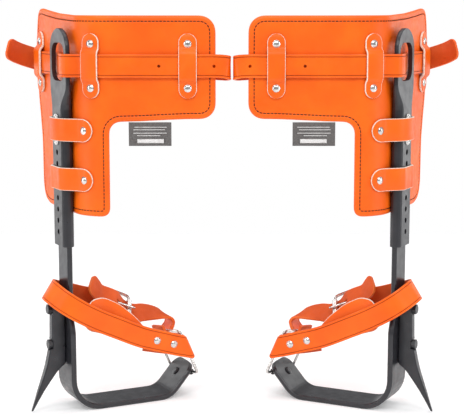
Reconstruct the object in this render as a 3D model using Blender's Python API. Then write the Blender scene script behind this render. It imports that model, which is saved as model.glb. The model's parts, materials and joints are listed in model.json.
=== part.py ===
"""A pair of tree climbing spurs: steel leg shanks with gaffs, and leather calf pads and straps.

Each climber is drawn in its own frame, in millimetres: x towards the free end of the stirrup,
y away from the front, z up, with the shank's axis at x = y = 0 and the tread's underside at z = 0.
The left climber is placed in the world by a turn about +Z and a shift, and the right one is its
mirror image across the world's X = 0 plane.
"""

import math

import bmesh
import bpy
import numpy as np

MM = 0.001

# Where the left climber stands, and how far it is turned about +Z.
STAND_X = -187.2
STAND_Y = -36.797
TURN = math.radians(26.8)

# Gap left between pieces that touch.
GAP = 0.3

# Flat bar that makes the shank and the stirrup.
BAR_THICK = 6.0
BAR_X = 1.0
BAR_HALF_WIDTH = 15.4
TREAD_HALF_WIDTH = 23.0
BAR_TOP = 338.0
BEND_RADIUS = 33.0
TREAD_END = 108.0
UPTURN_RADIUS = 24.0
UPTURN_ANGLE = math.radians(49.0)
UPTURN_LENGTH = 35.0
RIVET_ALONG = 17.8

# Leg sleeve: a rounded rectangular tube, flattened above into a slotted head.
SLEEVE_HALF = (6.55, 17.8)
SLEEVE_CORNER = 4.9
SLEEVE_WALL = 2.0
SLEEVE_BOTTOM = 188.0
FLATTEN_FROM = 340.0
FLATTEN_TO = 367.0
HEAD_HALF = (2.5, 26.5)
HEAD_X = -1.5
HEAD_ARCH_FROM = 405.0
HEAD_TOP = 428.0
SLOT_HALF_WIDTH = 19.5
SLOT_LOW = 371.0
SLOT_HIGH = 412.5
SLOT_CORNER = 12.0
HOLE_LOW = 203.6
HOLE_PITCH = 12.7
HOLE_RADIUS = 3.1
SCREW_STEPS = (8, 10)

# Gaff and its two bolts.
GAFF_HALF_THICK = 5.0
BOLT_HEIGHTS = (76.3, 116.5)
BOLT_RADIUS = 3.0

# Calf pad, laid along a plan curve: straight behind the sleeve, a bend, then straight along world +X.
PAD_THICK = 6.0
PAD_X = 9.9
PAD_BACK_Y = 103.0
PAD_BEND_Y = -17.4
PAD_BEND_RADIUS = 40.0
PAD_BEND_ANGLE = math.pi / 2 - TURN
PAD_BEND_START = PAD_BACK_Y - PAD_BEND_Y
PAD_BEND_LENGTH = PAD_BEND_RADIUS * PAD_BEND_ANGLE
PAD_LENGTH = 281.8
PAD_NOTCH = 167.0

# Leather straps.
STRAP_THICK = 3.0
STRAP_WIDTH = 25.0
STRAP_HEIGHT = 388.4
KEEPER_THICK = 2.4
KEEPER_WIDTH = 19.4
KEEPER_PLACES = {"a": 19.0, "b": 149.3, "c": 252.0}
LOOP_WIDTH = 25.0
LOOPS = {"upper": (318.5, 2.6), "lower": (264.5, 0.0)}

# Buckles: a wire frame, a roller on its front bar and a prong on its heel bar.
BUCKLE_WIRE = 1.9
BUCKLE_LENGTH = 26.0
BUCKLE_HALF_WIDTH = 17.0
ROLLER_RADIUS = 3.3
ROLLER_BORE = 2.1
PRONG_WIRE = 1.3
FOOT_BUCKLE_LEAN = math.radians(42.0)

# Strap ring on the stirrup's free end, and the turn of its clip about the rivet.
RING_WIRE = 1.7
RING_HALF_WIDTH = 27.5
RING_HEIGHT = 54.5
CLIP_TURN = math.radians(12.0)

MATERIALS = {
    "black_steel": ((0.035, 0.035, 0.045), 0.35, 0.8),
    "bright_steel": ((0.75, 0.74, 0.72), 0.25, 1.0),
    "orange_leather": ((0.85, 0.2, 0.02), 0.5, 0.0),
    "grey_cloth": ((0.13, 0.12, 0.12), 0.9, 0.0),
}


def vec(*values):
    return np.array(values, dtype=float)


def unit(values):
    values = np.asarray(values, dtype=float)
    return values / np.linalg.norm(values, axis=-1, keepdims=True)


def ease(value, start, end):
    """A smooth step from 0 at start to 1 at end."""
    part = np.clip((value - start) / (end - start), 0.0, 1.0)
    return part * part * (3.0 - 2.0 * part)


def clear_scene():
    for scene_object in list(bpy.data.objects):
        bpy.data.objects.remove(scene_object, do_unlink=True)


def make_collection(name, hidden=False):
    collection = bpy.data.collections.new(name)
    bpy.context.scene.collection.children.link(collection)
    collection.hide_render = hidden
    return collection


def make_materials():
    made = {}
    for name, (colour, rough, metal) in MATERIALS.items():
        material = bpy.data.materials.new(name)
        material.use_nodes = True
        shader = material.node_tree.nodes["Principled BSDF"]
        shader.inputs["Base Color"].default_value = (*colour, 1.0)
        shader.inputs["Roughness"].default_value = rough
        shader.inputs["Metallic"].default_value = metal
        made[name] = material
    return made


# ---------------------------------------------------------------- frames and paths


def to_world(points):
    """Climber frame in mm to the world in metres, for the left climber."""
    points = np.asarray(points, dtype=float)
    cos, sin = math.cos(TURN), math.sin(TURN)
    x = STAND_X + points[..., 0] * cos - points[..., 1] * sin
    y = STAND_Y + points[..., 0] * sin + points[..., 1] * cos
    return np.stack([x, y, points[..., 2]], axis=-1) * MM


def from_plan(world_x, world_y, height):
    """A point given in world X and Y (mm, before the shift in Y) as a point in the climber frame."""
    cos, sin = math.cos(TURN), math.sin(TURN)
    dx = world_x - STAND_X
    return vec(dx * cos + world_y * sin, -dx * sin + world_y * cos, height)


def pad_point(along, out, height):
    """A point of the pad: distance along its plan curve, distance out of its middle, height."""
    along = np.asarray(along, dtype=float)
    turned = np.clip((along - PAD_BEND_START) / PAD_BEND_RADIUS, 0.0, PAD_BEND_ANGLE)
    before = np.minimum(along - PAD_BEND_START, 0.0)
    after = np.maximum(along - PAD_BEND_START - PAD_BEND_LENGTH, 0.0)
    middle_x = PAD_X + PAD_BEND_RADIUS
    outward = np.stack([-np.cos(turned), -np.sin(turned)], axis=-1)
    forward = np.stack([np.sin(turned), -np.cos(turned)], axis=-1)
    base = np.stack([np.full_like(turned, middle_x), np.full_like(turned, PAD_BEND_Y)], axis=-1)
    flat = base + outward * (PAD_BEND_RADIUS + np.asarray(out)[..., None])
    flat = flat + forward * (before + after)[..., None]
    return np.stack([flat[..., 0], flat[..., 1], np.broadcast_to(height, turned.shape)], axis=-1)


def smooth(points, tolerance=0.13):
    """A smooth curve through rows of numbers: a place, and perhaps a direction across."""
    points = np.asarray(points, dtype=float)
    chord = np.linalg.norm(np.diff(points[:, :3], axis=0), axis=1)[:, None]
    slope = np.diff(points, axis=0) / chord
    middle = (slope[:-1] * chord[1:] + slope[1:] * chord[:-1]) / (chord[1:] + chord[:-1])
    slope = np.vstack([slope[0], middle, slope[-1]])
    fine = []
    for index, length in enumerate(chord[:, 0]):
        t = np.linspace(0.0, 1.0, max(3, int(length / 0.7)), endpoint=False)[:, None]
        fine.append(
            points[index] * (2 * t**3 - 3 * t**2 + 1)
            + points[index + 1] * (3 * t**2 - 2 * t**3)
            + length * (slope[index] * (t**3 - 2 * t**2 + t) + slope[index + 1] * (t**3 - t**2))
        )
    return thin(np.vstack([*fine, points[-1:]]), tolerance)


def thin(rows, tolerance):
    """Leaves out the rows of a curve that lie on a straight run between the rows that are kept."""
    scaled = rows * np.array([1.0] * 3 + [STRAP_WIDTH / 2] * (rows.shape[1] - 3))
    kept = {0, len(rows) - 1}
    spans = [(0, len(rows) - 1)]
    while spans:
        start, end = spans.pop()
        if end - start < 2:
            continue
        run = scaled[end] - scaled[start]
        steps = scaled[start : end + 1] - scaled[start]
        share = np.clip(steps @ run / max(run @ run, 1e-9), 0.0, 1.0)
        off = np.linalg.norm(steps - share[:, None] * run, axis=1)
        worst = int(np.argmax(off))
        if off[worst] > tolerance:
            kept.add(start + worst)
            spans += [(start, start + worst), (start + worst, end)]
    return rows[sorted(kept)]


def arc(centre, axis_u, axis_v, radius, start, end, count):
    """Points on an arc in the plane of two unit directions."""
    angles = np.linspace(start, end, count)
    return centre + radius * (
        np.cos(angles)[:, None] * axis_u + np.sin(angles)[:, None] * axis_v
    )


def lengths_along(path):
    steps = np.linalg.norm(np.diff(path, axis=0), axis=1)
    return np.concatenate([[0.0], np.cumsum(steps)])


# ---------------------------------------------------------------- solids


def join_rings(rings, closed=False):
    """Skins a list of equal rings of points; open runs get flat ends."""
    count = len(rings[0])
    verts = np.vstack(rings)
    faces = []
    spans = len(rings) if closed else len(rings) - 1
    for i in range(spans):
        a = i * count
        b = ((i + 1) % len(rings)) * count
        for j in range(count):
            k = (j + 1) % count
            faces.append((a + j, a + k, b + k, b + j))
    if not closed:
        faces.append(tuple(range(count))[::-1])
        faces.append(tuple(range((len(rings) - 1) * count, len(rings) * count)))
    return verts, faces


def bisected(path):
    """Unit directions along a path, halving the angle at each point."""
    chords = unit(np.diff(path, axis=0))
    return unit(np.vstack([chords[:1], chords[:-1] + chords[1:], chords[-1:]]))


def end_rounding(path, half_width, start, end):
    """Half widths along a path whose ends are rounded to a half circle."""
    run = lengths_along(path)
    half = np.full(len(path), half_width)
    for active, distance in ((start, run), (end, run[-1] - run)):
        if active:
            near = np.clip(half_width - distance, 0.0, half_width * 0.985)
            half = np.minimum(half, np.sqrt(half_width**2 - near**2))
    return half


def refine_ends(path, half_width, start, end):
    """Adds points near rounded ends so that their outline stays round."""
    run = lengths_along(path)
    extra = half_width * (1.0 - np.cos(np.linspace(0.0, math.pi / 2, 7)))
    marks = set(run)
    if start:
        marks |= set(extra)
    if end:
        marks |= set(run[-1] - extra)
    marks = sorted(marks)
    kept = [marks[0]]
    for mark in marks[1:]:
        if mark - kept[-1] > 0.12:
            kept.append(mark)
    kept[-1] = run[-1]
    return np.stack([np.interp(kept, run, path[:, i]) for i in range(path.shape[1])], axis=1)


def band(path, across, width, thick, round_start=False, round_end=False, skewed=False):
    """A flat strap swept along a path. across is one direction, or one for each point.

    A skewed strap keeps the given directions, so that it can fold over a slanting bar.
    """
    path = np.asarray(path, dtype=float)
    across = np.broadcast_to(np.asarray(across, dtype=float), path.shape)
    both = refine_ends(np.hstack([path, across]), width / 2, round_start, round_end)
    path, across = both[:, :3], both[:, 3:]
    tangent = bisected(path)
    face = unit(np.cross(tangent, across))
    if skewed:
        across = unit(across)
        across = across / np.linalg.norm(np.cross(tangent, across), axis=1)[:, None]
    else:
        across = unit(np.cross(face, tangent))
    chords = unit(np.diff(path, axis=0))
    mitre = 1.0 / np.clip(np.sum(tangent * np.vstack([chords, chords[-1:]]), axis=1), 0.85, 1.0)
    face = face * mitre[:, None]
    half = end_rounding(path, width / 2, round_start, round_end)[:, None]
    rings = []
    for point, side, out, reach in zip(path, across, face, half):
        rings.append(
            np.array(
                [
                    point - side * reach - out * thick / 2,
                    point + side * reach - out * thick / 2,
                    point + side * reach + out * thick / 2,
                    point - side * reach + out * thick / 2,
                ]
            )
        )
    return join_rings(rings)


def wire(path, radius, sides=8, closed=False):
    """A round wire along a path."""
    path = np.asarray(path, dtype=float)
    if closed:
        tangent = unit(np.roll(path, -1, axis=0) - np.roll(path, 1, axis=0))
    else:
        tangent = bisected(path)
    normal = unit(np.cross(tangent[0], vec(0.31, 0.87, 0.38)))
    rings = []
    for point, along in zip(path, tangent):
        normal = unit(normal - along * np.dot(normal, along))
        other = np.cross(along, normal)
        angles = np.arange(sides) * 2 * math.pi / sides
        rings.append(
            point
            + radius
            * (np.cos(angles)[:, None] * normal + np.sin(angles)[:, None] * other)
        )
    return join_rings(rings, closed)


def turned_rings(profile, origin, axis, sides):
    """Rings of points about an axis from rows of (radius, height), or (half width of a hexagon, height, 6)."""
    axis = unit(axis)
    side = unit(np.cross(axis, vec(0.0, 1.0, 0.02)))
    other = np.cross(axis, side)
    angles = np.arange(sides) * 2 * math.pi / sides
    rings = []
    for radius, height, *hexagon in profile:
        reach = np.full(sides, float(radius))
        if hexagon:
            reach = radius / np.cos((angles + math.pi / 6) % (math.pi / 3) - math.pi / 6)
        around = np.cos(angles)[:, None] * side + np.sin(angles)[:, None] * other
        rings.append(origin + axis * height + reach[:, None] * around)
    return rings


def turned(profile, origin, axis, sides=16):
    """A turned solid with flat ends."""
    return join_rings(turned_rings(profile, origin, axis, sides))


def drill(radius, place, axis, low, high, sides=16):
    """A round cutter along an axis."""
    return turned([(radius, low), (radius, high)], place, axis, sides)


def rounded_rectangle(half_a, half_b, corner, per_corner=4):
    """Outline points (a, b) of a rectangle with round corners, anticlockwise."""
    corner = min(corner, half_a * 0.98, half_b * 0.98)
    out = []
    for index, (sign_a, sign_b) in enumerate(((1, 1), (-1, 1), (-1, -1), (1, -1))):
        start = index * math.pi / 2
        for angle in np.linspace(start, start + math.pi / 2, per_corner):
            out.append(
                (
                    sign_a * (half_a - corner) + corner * math.cos(angle),
                    sign_b * (half_b - corner) + corner * math.sin(angle),
                )
            )
    return np.array(out)


def prism(outline, origin, axis_a, axis_b, axis_c, low, high):
    """An outline in the a-b plane of a frame, drawn out from low to high along c."""
    flat = origin + outline[:, :1] * axis_a + outline[:, 1:] * axis_b
    return join_rings([flat + axis_c * low, flat + axis_c * high])


# ---------------------------------------------------------------- objects


def make_object(name, verts, faces, collection, material=None):
    """A mesh object in the world from points in the climber frame."""
    mesh = bpy.data.meshes.new(name)
    mesh.from_pydata([tuple(p) for p in to_world(verts)], [], [tuple(f) for f in faces])
    mesh.validate()
    tidy = bmesh.new()
    tidy.from_mesh(mesh)
    bmesh.ops.recalc_face_normals(tidy, faces=tidy.faces)
    tidy.to_mesh(mesh)
    tidy.free()
    made = bpy.data.objects.new(name, mesh)
    collection.objects.link(made)
    if material:
        mesh.materials.append(material)
    return made


def cut(target, cutter, operation="DIFFERENCE"):
    """Applies an exact Boolean to an object."""
    modifier = target.modifiers.new("cut", "BOOLEAN")
    modifier.operation = operation
    modifier.solver = "EXACT"
    modifier.object = cutter
    graph = bpy.context.evaluated_depsgraph_get()
    mesh = bpy.data.meshes.new_from_object(target.evaluated_get(graph))
    target.modifiers.remove(modifier)
    old = target.data
    target.data = mesh
    bpy.data.meshes.remove(old)


class Builder:
    """Makes each piece once for the left climber and mirrors it for the right."""

    def __init__(self):
        self.parts = make_collection("tree_climbing_spurs")
        self.cutters = make_collection("cutters", hidden=True)
        self.materials = make_materials()
        self.count = 0

    def cutter(self, solid):
        self.count += 1
        made = make_object(f"cutter_{self.count:02d}", *solid, self.cutters)
        made.display_type = "WIRE"
        made.hide_render = True
        return made

    def piece(self, name, solid, material, cuts=(), adds=(), pivot=None, round_shape=False):
        """Adds left_NAME and right_NAME. pivot is a point on the piece's joint axis."""
        left = make_object("left_" + name, *solid, self.parts, self.materials[material])
        for solid_to_add in adds:
            cut(left, self.cutter(solid_to_add), "UNION")
        for solid_to_cut in cuts:
            cut(left, self.cutter(solid_to_cut))
        origin = to_world(pivot) if pivot is not None else np.zeros(3)
        self.settle(left, origin, round_shape)
        right = bpy.data.objects.new("right_" + name, left.data.copy())
        self.parts.objects.link(right)
        self.mirror(right, origin)

    def settle(self, made, origin, round_shape):
        """Puts the object's origin on the given point, without moving its shape."""
        mesh = made.data
        for vertex in mesh.vertices:
            vertex.co = [c - o for c, o in zip(vertex.co, origin)]
        made.location = origin
        for polygon in mesh.polygons:
            polygon.use_smooth = round_shape

    def mirror(self, made, origin):
        mesh = made.data
        for vertex in mesh.vertices:
            vertex.co.x = -vertex.co.x
        mesh.flip_normals()
        made.location = (-origin[0], origin[1], origin[2])


# ---------------------------------------------------------------- bar, sleeve and gaff


def upturn_frame():
    """Where the stirrup's upturned end starts (on its middle line), and its directions."""
    start = vec(
        TREAD_END + UPTURN_RADIUS * math.sin(UPTURN_ANGLE),
        0.0,
        BAR_THICK / 2 + UPTURN_RADIUS * (1.0 - math.cos(UPTURN_ANGLE)),
    )
    along = vec(math.cos(UPTURN_ANGLE), 0.0, math.sin(UPTURN_ANGLE))
    out = vec(math.sin(UPTURN_ANGLE), 0.0, -math.cos(UPTURN_ANGLE))
    return start, along, out


def bar_path():
    """The bar's middle line from its top to the stirrup's free end, with a half width at each point."""
    rows = [(BAR_X, BAR_TOP, BAR_HALF_WIDTH)]
    for height in (200.0, 114.0, 108.0, 102.0, 96.0, 90.0, 80.0, 66.0, 52.0):
        wide = 1.0 - ease(height, 88.0, 114.0)
        rows.append((BAR_X, height, BAR_HALF_WIDTH + wide * (TREAD_HALF_WIDTH - BAR_HALF_WIDTH)))
    centre_x = BAR_X + BEND_RADIUS
    centre_z = BAR_THICK / 2 + BEND_RADIUS
    for angle in np.linspace(0.0, math.pi / 2, 11):
        rows.append(
            (
                centre_x - BEND_RADIUS * math.cos(angle),
                centre_z - BEND_RADIUS * math.sin(angle),
                TREAD_HALF_WIDTH,
            )
        )
    for angle in np.linspace(0.0, UPTURN_ANGLE, 7):
        rows.append(
            (
                TREAD_END + UPTURN_RADIUS * math.sin(angle),
                BAR_THICK / 2 + UPTURN_RADIUS * (1.0 - math.cos(angle)),
                TREAD_HALF_WIDTH,
            )
        )
    start, along, _ = upturn_frame()
    corner = 14.0
    for angle in np.linspace(0.0, math.pi / 2, 7):
        reach = UPTURN_LENGTH - corner + corner * math.sin(angle)
        point = start + along * reach
        half = TREAD_HALF_WIDTH - corner + corner * math.cos(angle)
        rows.append((point[0], point[2], half))
    return np.array(rows)


def bar_solid():
    rows = bar_path()
    tangent = unit(np.gradient(rows[:, :2], axis=0))
    tangent[0] = (0.0, -1.0)
    tangent[-1] = tangent[-2] = (math.cos(UPTURN_ANGLE), math.sin(UPTURN_ANGLE))
    chamfer = 1.4
    half_thick = BAR_THICK / 2
    rings = []
    for (x, z, half), (tx, tz) in zip(rows, tangent):
        side = vec(tz, 0.0, -tx)
        ring = []
        for thick, wide in (
            (-half_thick, -half + chamfer),
            (-half_thick + chamfer, -half),
            (half_thick - chamfer, -half),
            (half_thick, -half + chamfer),
            (half_thick, half - chamfer),
            (half_thick - chamfer, half),
            (-half_thick + chamfer, half),
            (-half_thick, half - chamfer),
        ):
            ring.append(vec(x, wide, z) + side * thick)
        rings.append(np.array(ring))
    return join_rings(rings)


def rivet_point():
    start, along, _ = upturn_frame()
    return start + along * RIVET_ALONG


def make_bar(builder):
    _, _, out = upturn_frame()
    cuts = [drill(BOLT_RADIUS + GAP, vec(BAR_X, 0, z), vec(1, 0, 0), -8.0, 8.0) for z in BOLT_HEIGHTS]
    cuts.append(drill(3.3, rivet_point(), out, -8.0, 8.0))
    builder.piece("stirrup_bar", bar_solid(), "black_steel", cuts)


def sleeve_ring(height):
    flat = ease(height, FLATTEN_FROM, FLATTEN_TO)
    half_x = SLEEVE_HALF[0] + flat * (HEAD_HALF[0] - SLEEVE_HALF[0])
    half_y = SLEEVE_HALF[1] + flat * (HEAD_HALF[1] - SLEEVE_HALF[1])
    corner = SLEEVE_CORNER + flat * (1.6 - SLEEVE_CORNER)
    if height > HEAD_ARCH_FROM:
        rise = (height - HEAD_ARCH_FROM) / (HEAD_TOP - HEAD_ARCH_FROM)
        half_y = HEAD_HALF[1] * math.sqrt(max(1.0 - rise * rise, 0.02))
    outline = rounded_rectangle(half_x, half_y, corner)
    return np.column_stack([outline[:, 0] + flat * HEAD_X, outline[:, 1], np.full(len(outline), height)])


def make_sleeve(builder):
    heights = [SLEEVE_BOTTOM, 260.0, FLATTEN_FROM]
    heights += list(np.linspace(FLATTEN_FROM, FLATTEN_TO, 6)[1:])
    heights += [HEAD_ARCH_FROM]
    rise = np.sin(np.linspace(0.0, math.pi / 2, 8)[1:])
    heights += list(HEAD_ARCH_FROM + (HEAD_TOP - HEAD_ARCH_FROM) * rise)
    solid = join_rings([sleeve_ring(height) for height in heights])
    inner = rounded_rectangle(
        SLEEVE_HALF[0] - SLEEVE_WALL, SLEEVE_HALF[1] - SLEEVE_WALL, SLEEVE_CORNER - SLEEVE_WALL
    )
    along_x, along_y, along_z = np.eye(3)
    cavity = prism(inner, vec(0, 0, 0), along_x, along_y, along_z, SLEEVE_BOTTOM - 5.0, 344.0)
    middle = (SLOT_LOW + SLOT_HIGH) / 2
    window = rounded_rectangle(SLOT_HALF_WIDTH, (SLOT_HIGH - SLOT_LOW) / 2, SLOT_CORNER, 5)
    slot = prism(window, vec(0, 0, middle), along_y, along_z, along_x, -15.0, 15.0)
    cuts = [cavity, slot]
    for step in range(SCREW_STEPS[-1] + 1):
        place = vec(0.0, 0.0, HOLE_LOW + HOLE_PITCH * step)
        cuts.append(drill(HOLE_RADIUS, place, along_x, -9.0, 9.0, 12))
    builder.piece("leg_sleeve", solid, "black_steel", cuts)


def make_screws(builder):
    seat = -SLEEVE_HALF[0] - GAP
    tip = BAR_X - BAR_THICK / 2 - GAP
    for number, step in enumerate(SCREW_STEPS, 1):
        profile = [
            (1.5, -0.9, 6),
            (1.5, -2.2, 6),
            (2.9, -2.2),
            (4.4, -1.4),
            (5.2, 0.0),
            (HOLE_RADIUS - GAP, 0.0),
            (HOLE_RADIUS - GAP, tip - seat),
        ]
        place = vec(seat, 0.0, HOLE_LOW + HOLE_PITCH * step)
        builder.piece(
            f"height_screw_{number}", turned(profile, place, vec(1, 0, 0), 12), "bright_steel"
        )


def make_gaff(builder):
    """The gaff is built from level slices: (height, outer edge, inner edge, half thickness)."""
    back = BAR_X - BAR_THICK / 2 - GAP
    slices = [
        (134.0, -14.0, back, 3.6),
        (131.0, -16.8, back, GAFF_HALF_THICK),
        (116.0, -17.8, back, GAFF_HALF_THICK),
        (85.0, -18.4, back, GAFF_HALF_THICK),
        (69.0, -21.0, back, GAFF_HALF_THICK),
        (54.5, -24.2, back, GAFF_HALF_THICK),
        (52.0, -24.9, -3.6, 4.9),
        (49.0, -25.8, -8.0, 4.8),
        (44.0, -27.4, -12.9, 4.6),
        (36.0, -30.3, -18.9, 4.2),
        (24.0, -34.8, -27.4, 3.4),
        (12.0, -39.0, -34.6, 2.2),
        (4.5, -41.7, -38.9, 1.3),
        (1.6, -42.6, -40.6, 0.7),
    ]
    rings = []
    for height, outer, inner, thick in slices:
        edge = min(1.2, (inner - outer) * 0.25, thick * 0.5)
        rings.append(
            np.array(
                [
                    (outer, -thick + edge, height),
                    (outer + edge, -thick, height),
                    (inner - edge, -thick, height),
                    (inner, -thick + edge, height),
                    (inner, thick - edge, height),
                    (inner - edge, thick, height),
                    (outer + edge, thick, height),
                    (outer, thick - edge, height),
                ]
            )
        )
    cuts = []
    for z in BOLT_HEIGHTS:
        cuts.append(drill(BOLT_RADIUS + GAP, vec(0, 0, z), vec(1, 0, 0), -40.0, 8.0))
        cuts.append(drill(7.0, vec(-16.9, 0, z), vec(1, 0, 0), -30.0, 0.0))
    builder.piece("gaff", join_rings(rings), "black_steel", cuts)


def make_gaff_bolts(builder):
    seat = -16.9 - GAP
    end = BAR_X + BAR_THICK / 2 - 0.4
    for number, height in enumerate(BOLT_HEIGHTS, 1):
        profile = [
            (4.6, -4.9),
            (5.0, -4.5, 6),
            (5.0, 0.0, 6),
            (BOLT_RADIUS, 0.0),
            (BOLT_RADIUS, end - seat),
        ]
        builder.piece(
            f"gaff_bolt_{number}", turned(profile, vec(seat, 0, height), vec(1, 0, 0), 12), "black_steel"
        )


# ---------------------------------------------------------------- ring, clip and rivet


def ring_frame():
    """The ring's hinge point, its hinge direction, its own up direction and the clip's directions."""
    _, along, out = upturn_frame()
    side = vec(0, 1, 0) * math.cos(CLIP_TURN) - along * math.sin(CLIP_TURN)
    raised = unit(np.cross(out, side))
    if np.dot(raised, along) < 0:
        raised = -raised
    face = rivet_point() + out * (BAR_THICK / 2 + GAP)
    hinge = face + out * 3.9 + along * 6.4
    lean = vec(-0.363, 0.0, 0.932)
    up = unit(lean - side * np.dot(lean, side))
    return hinge, side, up, face, out, raised


def make_clip(builder):
    hinge, side, _, face, out, raised = ring_frame()
    plate = rounded_rectangle(15.0, 9.5, 4.0)
    solid = prism(plate, hinge - out * 3.9 - raised * 4.4, side, raised, out, 0.0, 2.2)
    adds = [drill(3.6, hinge, side, low, high) for low, high in ((-14.0, -6.0), (6.0, 14.0))]
    cuts = [drill(RING_WIRE + 0.2, hinge, side, -20.0, 20.0), drill(3.3, face, out, -5.0, 8.0)]
    builder.piece("ring_clip", solid, "black_steel", cuts, adds)


def make_clip_rivet(builder):
    _, _, out = upturn_frame()
    inner = -BAR_THICK / 2 - GAP
    outer = BAR_THICK / 2 + GAP + 2.2 + GAP
    profile = [
        (2.6, inner - 1.5),
        (4.8, inner - 0.6),
        (4.8, inner),
        (3.0, inner),
        (3.0, outer),
        (4.2, outer),
        (3.0, outer + 1.2),
    ]
    builder.piece("clip_rivet", turned(profile, rivet_point(), out), "black_steel", round_shape=True)


def make_ring(builder):
    hinge, side, up, _, _, _ = ring_frame()
    outline = rounded_rectangle(RING_HALF_WIDTH, RING_HEIGHT / 2, 3.6, 5)
    path = hinge + outline[:, :1] * side + (outline[:, 1:] + RING_HEIGHT / 2) * up
    builder.piece(
        "strap_ring", wire(path, RING_WIRE, 8, True), "bright_steel", pivot=hinge, round_shape=True
    )


# ---------------------------------------------------------------- calf pad and its bands


def pad_top(along):
    knots = [(0.0, 415.0), (2.5, 432.0), (6.0, 444.0), (11.0, 449.0), (20.0, 449.3), (40.0, 447.0)]
    knots += [(74.0, 444.0), (120.0, 442.2), (200.0, 442.0), (264.8, 442.0)]
    xs, zs = zip(*knots)
    if along > 264.8:
        return 425.0 + math.sqrt(max(17.0**2 - (along - 264.8) ** 2, 0.0))
    return float(np.interp(along, xs, zs))


def pad_bottom(along):
    if along > PAD_NOTCH + 0.02:
        if along < PAD_NOTCH + 12.0:
            return 316.5 + math.sqrt(max(12.0**2 - (PAD_NOTCH + 12.0 - along) ** 2, 0.0))
        lift = 328.5 + 3.0 * ease(along, PAD_NOTCH + 12.0, 262.0)
        if along > 265.8:
            return lift + 16.0 - math.sqrt(max(16.0**2 - (along - 265.8) ** 2, 0.0))
        return lift
    if along > PAD_NOTCH - 8.0:
        return 233.0 - math.sqrt(max(8.0**2 - (along - PAD_NOTCH + 8.0) ** 2, 0.0))
    knots = [(0.0, 372.0), (4.0, 346.0), (9.0, 322.0), (13.0, 300.0), (14.0, 250.0), (17.0, 238.0)]
    knots += [(23.0, 230.0), (34.0, 225.5), (46.0, 225.0), (159.0, 225.0)]
    xs, zs = zip(*knots)
    return float(np.interp(along, xs, zs))


def make_pad(builder):
    stations = [0.0, 1.2, 2.5, 4.0, 6.0, 9.0, 11.0, 13.0, 14.0, 17.0, 20.0, 23.0, 34.0, 46.0, 74.0, 100.0]
    stations += list(np.linspace(PAD_BEND_START, 159.0, 9))
    stations += list(PAD_NOTCH - 8.0 + 8.0 * np.sin(np.linspace(0.0, math.pi / 2, 5)))[1:]
    stations += list(PAD_NOTCH + 12.0 - 12.0 * np.cos(np.linspace(0.0, math.pi / 2, 7)) + 0.04)
    stations += [200.0, 232.0, 250.0, 264.8]
    stations += list(265.8 + 16.0 * np.sin(np.linspace(0.0, math.pi / 2, 8)))
    rings = []
    for along in stations:
        low, high = pad_bottom(along), pad_top(along)
        half = PAD_THICK / 2
        corners = [(half, low), (half, high), (-half, high), (-half, low)]
        rings.append(np.array([pad_point(along, out, z) for out, z in corners]))
    builder.piece("calf_pad", join_rings(rings), "orange_leather")


def make_keepers(builder):
    """Upright bands that hold the calf strap against the pad."""
    low_gap = PAD_THICK / 2 + GAP + KEEPER_THICK / 2
    high_gap = low_gap + STRAP_THICK + 2 * GAP
    rows = [
        (-34.6, low_gap),
        (-24.0, low_gap),
        (-18.5, low_gap + 0.4),
        (-14.2, high_gap + 0.2),
        (-8.0, high_gap + 0.5),
        (8.0, high_gap + 0.5),
        (14.2, high_gap + 0.2),
        (18.5, low_gap + 0.4),
        (24.0, low_gap),
        (34.6, low_gap),
    ]
    for letter, along in KEEPER_PLACES.items():
        path = np.array([pad_point(along, out, STRAP_HEIGHT + rise) for rise, out in rows])
        level = unit(pad_point(along + 0.1, 0.0, 0.0) - pad_point(along - 0.1, 0.0, 0.0))
        solid = band(path, level, KEEPER_WIDTH, KEEPER_THICK, True, True)
        builder.piece(f"strap_keeper_{letter}", solid, "orange_leather")


def loop_path(height, bow):
    """Plan path of a band that ties the sleeve to the pad; bow lifts it over the screw heads."""
    lift = PAD_THICK / 2 + 2 * GAP + KEEPER_THICK / 2
    front = -SLEEVE_HALF[0] - 2 * GAP - KEEPER_THICK / 2
    rows = [pad_point(along, lift, height) for along in (52.0, 60.0, 67.0, 74.0)]
    rows += [vec(3.4, 24.6, height), vec(-3.4, 20.2, height), vec(front, 14.0, height)]
    rows += [vec(front - bow * 0.75, 7.0, height), vec(front - bow, 0.0, height)]
    rows += [vec(front - bow * 0.75, -7.0, height), vec(front, -14.0, height)]
    rows += [vec(-4.4, -20.3, height), vec(1.8, -26.0, height)]
    rows += [pad_point(along, lift, height) for along in (134.0, 139.0, 144.0, 149.8)]
    return smooth(rows)


def make_loops(builder):
    for name, (height, bow) in LOOPS.items():
        solid = band(loop_path(height, bow), vec(0, 0, 1), LOOP_WIDTH, KEEPER_THICK, True, True)
        builder.piece(f"shank_loop_{name}", solid, "orange_leather")


def make_tag(builder):
    """A plain cloth tag that hangs from the seam under the pad's upper part."""
    path = np.array([pad_point(along, 0.0, 315.2) for along in (188.0, 200.0, 212.0, 224.0, 234.0)])
    solid = band(path, vec(0, 0, 1), 25.6, 0.9)
    builder.piece("pad_tag", solid, "grey_cloth")


# ---------------------------------------------------------------- buckles


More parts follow.
